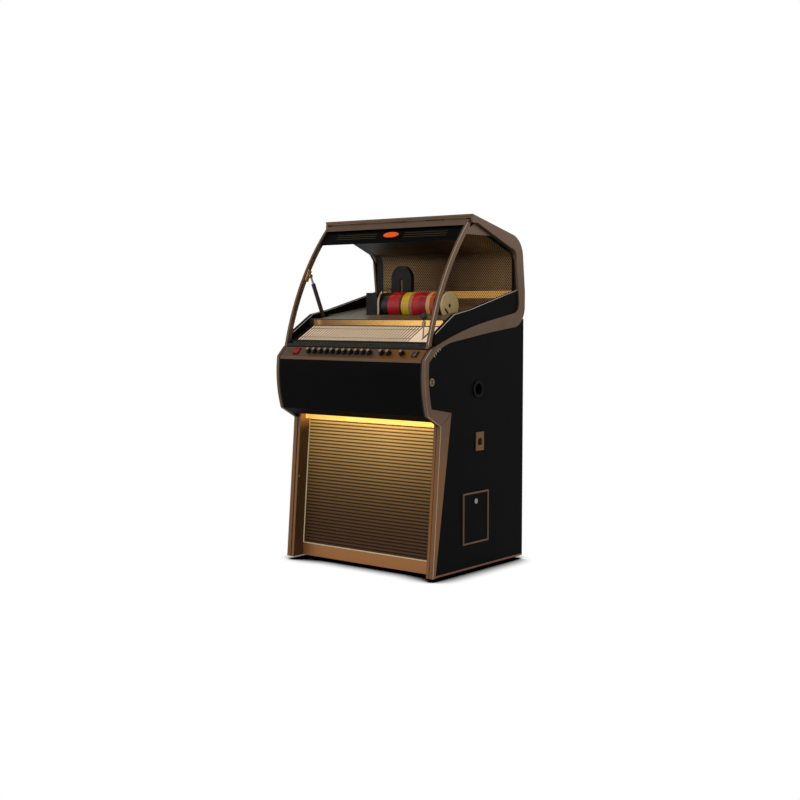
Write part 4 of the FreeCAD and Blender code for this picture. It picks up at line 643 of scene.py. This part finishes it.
# turns a finished mesh into a piece that rides on a body
def settle(name, mesh, body, finish):
    mesh.materials.clear()
    mesh.materials.append(finishes[finish])
    piece = bpy.data.objects.new(name, mesh)
    bpy.context.collection.objects.link(piece)
    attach(piece, body)


# a geometry tree with named inputs; build fills it and gives back its last wire
def newTree(name, sizes, build):
    tree = bpy.data.node_groups.new(name, "GeometryNodeTree")
    tree.interface.new_socket("Geometry", in_out="INPUT", socket_type="NodeSocketGeometry")
    for label, value in sizes.items():
        kind = "NodeSocketInt" if isinstance(value, int) else "NodeSocketFloat"
        tree.interface.new_socket(label, in_out="INPUT", socket_type=kind).default_value = value
    tree.interface.new_socket("Finish", in_out="INPUT", socket_type="NodeSocketMaterial")
    tree.interface.new_socket("Geometry", in_out="OUTPUT", socket_type="NodeSocketGeometry")
    source = tree.nodes.new("NodeGroupInput")
    given = {socket.name: Wire(tree, socket) for socket in source.outputs if socket.name}
    shape = add(tree, "GeometryNodeRealizeInstances", inputs={0: build(tree, given)})
    shape = add(tree, "GeometryNodeSetMaterial", inputs={"Geometry": shape, "Material": given["Finish"]})
    tree.links.new(shape.socket, tree.nodes.new("NodeGroupOutput").inputs[0])
    return tree


# runs a tree on a starting mesh and gives back a plain mesh
def grow(tree, start, sizes, finish):
    holder = bpy.data.objects.new("holder", start)
    bpy.context.collection.objects.link(holder)
    modifier = holder.modifiers.new("grow", "NODES")
    modifier.node_group = tree
    for item in tree.interface.items_tree:
        if item.in_out == "INPUT" and item.name in sizes:
            modifier[item.identifier] = sizes[item.name]
        elif item.in_out == "INPUT" and item.name == "Finish":
            modifier[item.identifier] = finishes[finish]
    holder.update_tag()
    shown = holder.evaluated_get(bpy.context.evaluated_depsgraph_get())
    mesh = bpy.data.meshes.new_from_object(shown)
    holder.modifiers.clear()
    bpy.data.objects.remove(holder)
    return mesh


def pathMesh(points, closed=False):
    mesh = bpy.data.meshes.new("path")
    edges = [(i, i + 1) for i in range(len(points) - 1)]
    if closed:
        edges.append((len(points) - 1, 0))
    mesh.from_pydata([tuple(point) for point in points], edges, [])
    return mesh


# round trim along a path, with rounded corners
def roundTrimNodes(tree, given):
    curve = add(tree, "GeometryNodeMeshToCurve", inputs={0: given["Geometry"]})
    curve = add(tree, "GeometryNodeFilletCurve", {"mode": "POLY"}, {
        "Curve": curve, "Radius": given["Corner"], "Limit Radius": True, "Count": given["Steps"]})
    profile = add(tree, "GeometryNodeCurvePrimitiveCircle", inputs={
        "Resolution": given["Sides"], "Radius": given["Radius"]})
    return add(tree, "GeometryNodeCurveToMesh", inputs={
        "Curve": curve, "Profile Curve": profile, "Fill Caps": True})


roundTrim = newTree("roundTrim", {"Radius": 0.002, "Corner": 0.001, "Steps": 6, "Sides": 10}, roundTrimNodes)


# small heads, such as screws, on points that carry the way they face
def headsNodes(tree, given):
    facing = add(tree, "GeometryNodeInputNamedAttribute", {"data_type": "FLOAT_VECTOR"}, {"Name": "facing"})
    turn = add(tree, "FunctionNodeAlignRotationToVector", {"axis": "Z"}, {"Vector": facing})
    head = add(tree, "GeometryNodeMeshCone", inputs={
        "Vertices": given["Sides"], "Radius Top": given["Crown"], "Radius Bottom": given["Radius"],
        "Depth": given["Height"]})
    slot = add(tree, "GeometryNodeMeshCone", inputs={
        "Vertices": 6, "Radius Top": given["Crown"] * 0.3, "Radius Bottom": given["Crown"] * 0.55,
        "Depth": given["Height"] * 0.5})
    drop = add(tree, "ShaderNodeCombineXYZ", inputs={"Z": given["Height"] * 0.75})
    slot = add(tree, "GeometryNodeTransform", inputs={"Geometry": slot, "Translation": drop})
    both = tree.nodes.new("GeometryNodeJoinGeometry")
    for wire in (head, slot):
        tree.links.new(wire.socket, both.inputs[0])
    return add(tree, "GeometryNodeInstanceOnPoints", inputs={
        "Points": given["Geometry"], "Instance": Wire(tree, both.outputs[0]), "Rotation": turn})


heads = newTree("heads", {"Radius": 0.004, "Crown": 0.003, "Height": 0.002, "Sides": 12}, headsNodes)


def facingPoints(spots, facing):
    mesh = bpy.data.meshes.new("spots")
    mesh.from_pydata([tuple(place) for place in spots], [], [])
    field = mesh.attributes.new("facing", "FLOAT_VECTOR", "POINT")
    for item in field.data:
        item.vector = facing
    return mesh


# open diamonds of an expanded-metal strip, in staggered rows
def diamondNodes(tree, given):
    ring = add(tree, "GeometryNodeCurvePrimitiveCircle", inputs={"Resolution": 4, "Radius": 1.0})
    shape = add(tree, "ShaderNodeCombineXYZ", inputs={
        "X": given["Half across"], "Y": given["Half up"], "Z": 1.0})
    ring = add(tree, "GeometryNodeTransform", inputs={"Geometry": ring, "Scale": shape})
    profile = add(tree, "GeometryNodeCurvePrimitiveCircle", inputs={"Resolution": 3, "Radius": given["Wire"]})
    link = add(tree, "GeometryNodeCurveToMesh", inputs={"Curve": ring, "Profile Curve": profile})
    upright = add(tree, "FunctionNodeEulerToRotation", inputs={0: (math.radians(90), 0, 0)})
    return add(tree, "GeometryNodeInstanceOnPoints", inputs={
        "Points": given["Geometry"], "Instance": link, "Rotation": upright})


diamonds = newTree("diamonds", {"Half across": 0.005, "Half up": 0.003, "Wire": 0.0006}, diamondNodes)


# upright grips round a knob's skirt, about its own base point
def knobNodes(tree, given):
    circle = add(tree, "GeometryNodeMeshCircle", inputs={
        "Vertices": given["Grips"], "Radius": given["Radius"]})
    grip = add(tree, "GeometryNodeMeshCylinder", inputs={
        "Vertices": 6, "Radius": given["Grip"], "Depth": given["Height"]})
    ribs = add(tree, "GeometryNodeInstanceOnPoints", inputs={"Points": circle, "Instance": grip})
    rise = add(tree, "ShaderNodeCombineXYZ", inputs={"Z": given["Height"] * 0.5})
    return add(tree, "GeometryNodeTransform", inputs={"Geometry": ribs, "Translation": rise})


knobGrips = newTree("knobGrips", {"Radius": 0.0125, "Grip": 0.0009, "Height": 0.008, "Grips": 20}, knobNodes)


# a turned shape about the Z axis, from (radius, height) pairs in mm
def turnedMesh(profile, sides=32):
    shape = bmesh.new()
    rings = []
    for radius, height in profile:
        if radius == 0:
            rings.append([shape.verts.new((0, 0, height * mm))])
            continue
        turns = [math.tau * k / sides for k in range(sides)]
        wide = radius * mm
        rings.append([shape.verts.new((wide * math.cos(turn), wide * math.sin(turn), height * mm))
                      for turn in turns])
    for low, high in zip(rings, rings[1:]):
        for k in range(sides):
            n = (k + 1) % sides
            corners = [low[k % len(low)], low[n % len(low)], high[n % len(high)], high[k % len(high)]]
            corners = [v for i, v in enumerate(corners) if v not in corners[:i]]
            if len(corners) > 2:
                shape.faces.new(corners)
    bmesh.ops.recalc_face_normals(shape, faces=shape.faces)
    mesh = bpy.data.meshes.new("turned")
    shape.to_mesh(mesh)
    shape.free()
    return mesh


# a rounded bar: a box with all its edges bevelled, sizes in mm
def barMesh(size, place, turn=None, bevel=0.6, steps=2):
    shape = bmesh.new()
    bmesh.ops.create_cube(shape, size=1.0)
    bmesh.ops.scale(shape, vec=[s * mm for s in size], verts=shape.verts)
    bmesh.ops.bevel(shape, geom=shape.edges[:], offset=bevel * mm, segments=steps, affect="EDGES",
                    profile=0.5)
    matrix = Matrix.Translation(place) @ (turn.to_4x4() if turn else Matrix.Identity(4))
    bmesh.ops.transform(shape, matrix=matrix, verts=shape.verts)
    mesh = bpy.data.meshes.new("bar")
    shape.to_mesh(mesh)
    shape.free()
    return mesh


def joined(meshes):
    shape = bmesh.new()
    for mesh in meshes:
        shape.from_mesh(mesh)
    mesh = bpy.data.meshes.new("joined")
    shape.to_mesh(mesh)
    shape.free()
    return mesh


# the lid's bowed front, moved inwards by a setback
lidArc = {"foot": (-20, 917), "top": (246, 1424), "radius": 1150}


def lidReach(height, setback=0.0):
    (y0, z0), (y1, z1), radius = lidArc["foot"], lidArc["top"], lidArc["radius"]
    chord = math.hypot(y1 - y0, z1 - z0)
    share = math.sqrt(radius ** 2 - chord ** 2 / 4) / chord
    cy, cz = (y0 + y1) / 2 + (z1 - z0) * share, (z0 + z1) / 2 - (y1 - y0) * share
    return cy - math.sqrt((radius - setback) ** 2 - (height - cz) ** 2)


def leaning(height):
    return 51 * height / 605


# white piping along the top edge of each window apron, on the left one inside as well
# and a black gasket round each pane
trimLines = {"piping": 1.3, "pipingAt": {"left": (374.7, 393), "right": (393,)},
             "gasket": 3.2, "gasketAt": 384, "bead": 2.8, "edge": 1.3, "rim": 1.5}
apronTop = ((lidReach(974, 25), 974), (145, 1050), (257, 1070), (600, 1154))
paneEdge = ((310, 1418), (544, 1330), (586, 1284), (606, 1100), (574, 1058), (368, 1023))


def trimAlong(points, line, corner, finish, closed=False):
    sizes = {"Radius": trimLines[line] * mm, "Corner": corner}
    return grow(roundTrim, pathMesh(points, closed), sizes, finish)


def windowTrim():
    for side, sign in (("left", -1), ("right", 1)):
        lines = []
        for x in trimLines["pipingAt"][side]:
            edge = [spot(sign * x, y, z) for y, z in apronTop]
            lines.append(trimAlong(edge, "piping", 0.02, "white"))
        settle("piping_" + side, joined(lines), "cabinet", "white")
        seal = [spot(sign * trimLines["gasketAt"], y, z) for y, z in paneEdge]
        mesh = trimAlong(seal, "gasket", 0.04, "rubber")
        settle("gasket_" + side, mesh, "cabinet", "rubber")


# pale bead round the speaker cloth, and screws down the sides of its recess
beadBox = {"half": 360.5, "low": 54.5, "high": 596, "reach": 59}


def grilleTrim():
    def clothSpot(x, z):
        return spot(x, leaning(z) + beadBox["reach"], z)
    half, low, high = beadBox["half"], beadBox["low"], beadBox["high"]
    corners = [clothSpot(-half, high), clothSpot(-half, low), clothSpot(half, low), clothSpot(half, high)]
    settle("grille_bead", trimAlong(corners, "bead", 0.003, "bead", True), "cabinet", "bead")
    spots = [spot(-363, leaning(z) + back, z) for z, back in ((588, 20), (348, 12))]
    left = grow(heads, facingPoints(spots, (1, 0, 0)), {}, "steel")
    right = grow(heads, facingPoints([Vector((-p.x, p.y, p.z)) for p in spots], (-1, 0, 0)), {}, "steel")
    settle("recess_screws", joined([left, right]), "cabinet", "steel")


# pale bead along the front edge of each side trim and of each lid post: a rounded edge whose pale colour is a
# painted highlight
def edgeBeads():
    inset = trimLines["edge"] * 0.8
    front = [(0, 2), (51, 605)] + [(-34, 651), (-46, 706), (-53, 762), (-56, 818), (-54, 874)] + [(-14, 914)]
    post = [(lidReach(z), z) for z in range(930, 1425, 26)]
    for side, sign in (("left", -1), ("right", 1)):
        for name, body, x, line in (("trim_edge_", "cabinet", 400, front), ("post_edge_", "lid", 388, post)):
            path = [spot(sign * (x - inset), y + inset, z) for y, z in line]
            settle(name + side, trimAlong(path, "edge", 0.004, "edge"), body, "edge")


# fine dark line where the lower strip and the nose band meet at the knee
def mitreLines():
    (y0, z0), (y1, z1) = (51, 605), (121, 657)
    turn = Matrix.Rotation(math.atan2(z1 - z0, y1 - y0), 3, "X")
    length = math.hypot(y1 - y0, z1 - z0) - 4
    for side, sign in (("left", -1), ("right", 1)):
        mesh = barMesh((0.6, length, 1.4), spot(sign * 400, (y0 + y1) / 2, (z0 + z1) / 2), turn, bevel=0.25)
        settle("mitre_line_" + side, mesh, "cabinet", "paint")


# bronze strip along the foot of each side
def footStrips():
    for side, sign in (("left", -1), ("right", 1)):
        mesh = barMesh((3, 626, 8), spot(sign * 395, 332, 4.5), bevel=1.0)
        settle("foot_strip_" + side, mesh, "cabinet", "bronze")


# four pale marks on the right-hand trim
def trimMarks():
    bars = []
    for y, z in ((7, 889), (17, 898), (30, 908), (43, 915)):
        turn = Matrix.Rotation(math.radians(32), 3, "X")
        bars.append(barMesh((1.2, 2.4, 12), spot(400, y, z), turn, bevel=0.5))
    settle("trim_marks", joined(bars), "cabinet", "white")


# plain domed lamp in the middle of the lid header
headerLamp = {"x": 8, "height": 1386, "wide": 84, "tall": 30, "deep": 9}


def headerLens():
    shape = bmesh.new()
    bmesh.ops.create_uvsphere(shape, u_segments=32, v_segments=16, radius=0.5)
    size = [headerLamp[key] * mm for key in ("wide", "deep", "tall")]
    bmesh.ops.scale(shape, vec=size, verts=shape.verts)
    mesh = bpy.data.meshes.new("lens")
    tilt = Matrix.Rotation(math.radians(-38), 4, "X")
    centre = spot(headerLamp["x"], lidReach(headerLamp["height"], 4.5), headerLamp["height"])
    bmesh.ops.transform(shape, matrix=Matrix.Translation(centre) @ tilt, verts=shape.verts)
    shape.to_mesh(mesh)
    shape.free()
    for face in mesh.polygons:
        face.use_smooth = True
    settle("header_lens", mesh, "lid", "amber")
    turns = [math.tau * k / 48 for k in range(48)]
    wide, tall = size[0] * 0.5, size[2] * 0.5
    lean = tilt.to_3x3()
    ring = [centre + lean @ Vector((wide * math.cos(turn), 0.0, tall * math.sin(turn))) for turn in turns]
    settle("header_rim", trimAlong(ring, "rim", 0.0002, "gloss", True), "lid", "gloss")


# middle line of the leaning control panel: its reach and height, and its lean
panelLine = (-34, 894)
panelTilt = math.radians(45)


# knobs: grips round the skirt and a bright cap on each
knobRow = [-229 + 33.2 * n for n in range(11)] + [168, 203.5, 272]
knob = {"lift": 4.5, "skirt": 9}
capProfile = ((0, 6.0), (6.0, 6.0), (6.8, 6.4), (7.0, 7.0), (6.4, 7.5), (5.6, 7.3), (5.0, 6.9), (0, 6.8))


def knobDress():
    tilt = Matrix.Rotation(panelTilt, 4, "X")
    for number, x in enumerate(knobRow, start=1):
        body = "selector_knob_%02d" % number
        stand = Matrix.Translation(spot(x, *panelLine)) @ tilt
        start = bpy.data.meshes.new("start")
        grips = grow(knobGrips, start, {}, "gloss")
        grips.transform(Matrix.Translation((0, 0, (knob["lift"] + 0.6) * mm)))
        top = knob["lift"] + knob["skirt"]
        cap = turnedMesh([(radius, top + rise) for radius, rise in capProfile])
        for mesh in (grips, cap):
            mesh.transform(stand)
        settle(body + "_grips", grips, body, "gloss")
        settle(body + "_cap", cap, body, "gold")


# expanded-metal strip in front of the deck, with a lamp behind it
deckStrip = {"left": -350, "right": 352, "low": 1005, "high": 1027, "across": 10.0, "up": 5.6,
             "meshAt": 124.6, "lampAt": 124.75, "lamp": (702, 0.5, 22)}


def deckMesh():
    points, row, z = [], 0, deckStrip["low"] + deckStrip["up"] / 2
    while z < deckStrip["high"]:
        x = deckStrip["left"] + (deckStrip["across"] / 2 if row % 2 else 0.0)
        while x < deckStrip["right"]:
            points.append(spot(x, deckStrip["meshAt"], z))
            x += deckStrip["across"]
        z, row = z + deckStrip["up"] / 2, row + 1
    mesh = grow(diamonds, facingPoints(points, (0, -1, 0)), {
        "Half across": deckStrip["across"] / 2 * mm, "Half up": deckStrip["up"] / 2 * mm}, "darkWire")
    settle("deck_mesh", mesh, "cabinet", "darkWire")
    lamp = barMesh(deckStrip["lamp"], spot(1, deckStrip["lampAt"], 1016), bevel=0.2)
    settle("deck_lamp", lamp, "cabinet", "deckLight")


# upright ticks on the display riser
def displayTicks():
    bars = [barMesh((2.2, 1.0, 13), spot(-352 + 8 * n, 2.8, 928), bevel=0.3, steps=1) for n in range(89)]
    settle("display_ticks", joined(bars), "cabinet", "tick")


# bright collar on the title lever's stem
lever = {"x": 316, "pivot": (40, 936), "lean": 5, "collar": 78, "stem": 3.1}


def leverCollar():
    stem = lever["stem"]
    ring = turnedMesh([(stem, -10), (7.2, -10), (8.4, -8.8), (8.4, -5), (7.4, -4), (7.4, 4), (8.4, 5),
                       (8.4, 8.8), (7.2, 10), (stem, 10), (stem, -10)], 28)
    lean = Matrix.Rotation(math.radians(-lever["lean"]), 4, "X")
    foot = Matrix.Translation(spot(lever["x"], *lever["pivot"])) @ lean
    ring.transform(foot @ Matrix.Translation((0, 0, lever["collar"] * mm)))
    settle("lever_collar", ring, "title_lever", "collar")


# gold plate that carries the strut on the lid
def strutPlate():
    turn = Matrix.Rotation(math.radians(-27), 3, "X")
    plate = barMesh((4, 22, 54), spot(-371, lidReach(1218, 14), 1218), turn, bevel=1.5)
    settle("strut_plate", plate, "lid", "amberGold")


# bronze plate in the tower's slot
def towerPlate():
    plate = barMesh((13, 3, 80), spot(-98, 426, 1162), bevel=1.0)
    settle("tower_plate", plate, "cabinet", "bronzeWarm")


# lamp strip under the top rail of the lid
def lidLamp():
    strip = barMesh((700, 8, 3), spot(0, lidReach(1400, 30), 1410), bevel=0.8)
    settle("lid_lamp", strip, "lid", "softLight")


# hidden lamp above the speaker cloth, behind the bar that shows
def grilleLamp():
    strip = barMesh((690, 6, 3), spot(0, 107, 600), bevel=0.8)
    settle("grille_lamp", strip, "cabinet", "softLight")


# black bezel round the rocker
def rockerBezel():
    tilt = Matrix.Rotation(panelTilt, 4, "X")
    bars = [barMesh(size, place, bevel=0.8) for size, place in (
        ((30, 3, 3), Vector((0, -0.0165, 0.0012))), ((30, 3, 3), Vector((0, 0.0165, 0.0012))),
        ((3, 36, 3), Vector((-0.0135, 0, 0.0012))), ((3, 36, 3), Vector((0.0135, 0, 0.0012))))]
    mesh = joined(bars)
    mesh.transform(Matrix.Translation(spot(-301, *panelLine)) @ tilt)
    settle("rocker_bezel", mesh, "cabinet", "plastic")


# screws round the back board
def rearScrews():
    reach = 651
    spots = [spot(x, reach, z) for x in (-360, 0, 360) for z in (20, 200, 400, 900, 1010)]
    spots += [spot(x, reach, z) for x in (-240, -120, 120, 240) for z in (20, 1010)]
    mesh = grow(heads, facingPoints(spots, (0, 1, 0)), {"Radius": 0.0055, "Crown": 0.004}, "steel")
    settle("rear_screws", mesh, "cabinet", "steel")


# bright nut on each jack socket
def jackNuts():
    rings = []
    for sign in (-1, 1):
        ring = turnedMesh([(3.4, 3.0), (6.4, 3.0), (6.4, 5.2), (5.4, 5.8), (3.4, 5.8), (3.4, 3.0)], 18)
        shift = 6.5 * sign * math.sqrt(0.5)
        place = spot(337, panelLine[0] + shift, panelLine[1] + shift)
        ring.transform(Matrix.Translation(place) @ Matrix.Rotation(panelTilt, 4, "X"))
        rings.append(ring)
    settle("jack_nuts", joined(rings), "cabinet", "nut")


# bronze ring round the side lock
def lockRing():
    ring = turnedMesh([(14.6, 0), (17, 0), (17, 2.2), (16, 3), (14.6, 3), (14.6, 0)], 32)
    place = spot(394, sideLock["reach"], sideLock["height"])
    ring.transform(Matrix.Translation(place) @ Matrix.Rotation(math.radians(90), 4, "Y"))
    settle("lock_ring", ring, "cabinet", "bronze")


windowTrim()
grilleTrim()
edgeBeads()
mitreLines()
footStrips()
trimMarks()
headerLens()
knobDress()
deckMesh()
displayTicks()
leverCollar()
strutPlate()
towerPlate()
lidLamp()
grilleLamp()
rockerBezel()
rearScrews()
jackNuts()
lockRing()
print("pieces made")


# camera at the photograph's viewing angle
view = {"place": (3.4021, -4.2536, 1.0834), "azimuth": 38.70, "down": 4.06, "lens": 56.93}
camera = bpy.data.objects.new("camera", bpy.data.cameras.new("camera"))
bpy.context.collection.objects.link(camera)
camera.location = view["place"]
camera.rotation_euler = (math.radians(90 - view["down"]), 0, math.radians(view["azimuth"]))
camera.data.sensor_width, camera.data.lens = 36, view["lens"]
bpy.context.scene.camera = camera


# how white a stage surface is to a ray: fully to the camera and through glass, less in reflections
def whiteToTheEye(tree):
    path = tree.nodes.new("ShaderNodeLightPath")
    camera, glossy, through = [Wire(tree, path.outputs[name]) for name in (
        "Is Camera Ray", "Is Glossy Ray", "Is Transmission Ray")]
    return camera + glossy * 0.35 + through


studio = {"world": 0.3, "key": 44.0, "fill": 15.0, "rear": 32.0, "shadowReach": 0.16, "shadowCore": 0.5,
          "shadowFade": 0.32}


# white floor that keeps the cabinet's soft shadow, and a world that is white to the eye and dim as a light
def buildStudio():
    world = bpy.data.worlds.new("studio")
    bpy.context.scene.world = world
    world.use_nodes = True
    tree = world.node_tree
    back = tree.nodes["Background"]
    back.inputs["Color"].default_value = (1, 1, 1, 1)
    strength = whiteToTheEye(tree) * (1 - studio["world"]) + studio["world"]
    tree.links.new(strength.socket, back.inputs["Strength"])
    mesh = bpy.data.meshes.new("floor")
    mesh.from_pydata([(-30, -30, 0), (30, -30, 0), (30, 30, 0), (-30, 30, 0)], [], [(0, 1, 2, 3)])
    floor = bpy.data.objects.new("floor", mesh)
    bpy.context.collection.objects.link(floor)
    material, tree, shader, place = newFinish("whiteFloor")
    feed(tree, shader, Base_Color=rgba((0.8, 0.8, 0.8)), Roughness=0.9, Specular_IOR_Level=0.0)
    openness = add(tree, "ShaderNodeAmbientOcclusion", {"samples": 24},
                   {"Distance": studio["shadowReach"]}, out=1)
    clear = clamp(tree, (openness - studio["shadowCore"]) / studio["shadowFade"])
    bright = add(tree, "ShaderNodeEmission", inputs={"Color": rgba((1, 1, 1)), "Strength": clear})
    seen = clamp(tree, whiteToTheEye(tree))
    both = add(tree, "ShaderNodeMixShader", inputs={0: seen, 1: Wire(tree, shader.outputs[0]), 2: bright})
    tree.links.new(both.socket, tree.nodes["Material Output"].inputs[0])
    floor.data.materials.append(material)
    for name, place, aim, size, power in (
            ("key", (1.3, -3.4, 3.2), (0, 0, 0.8), 2.2, studio["key"]),
            ("fill", (-3.0, -3.0, 2.0), (0, 0, 0.8), 2.5, studio["fill"]),
            ("rear", (2.2, 2.8, 2.8), (0, 0, 0.9), 2.0, studio["rear"])):
        lamp = bpy.data.lights.new(name, "AREA")
        lamp.size, lamp.energy = size, power
        holder = bpy.data.objects.new(name, lamp)
        bpy.context.collection.objects.link(holder)
        holder.location = place
        holder.rotation_euler = (Vector(aim) - Vector(place)).to_track_quat("-Z", "Y").to_euler()


buildStudio()
bpy.context.scene.view_settings.view_transform = "Standard"
print("studio built")
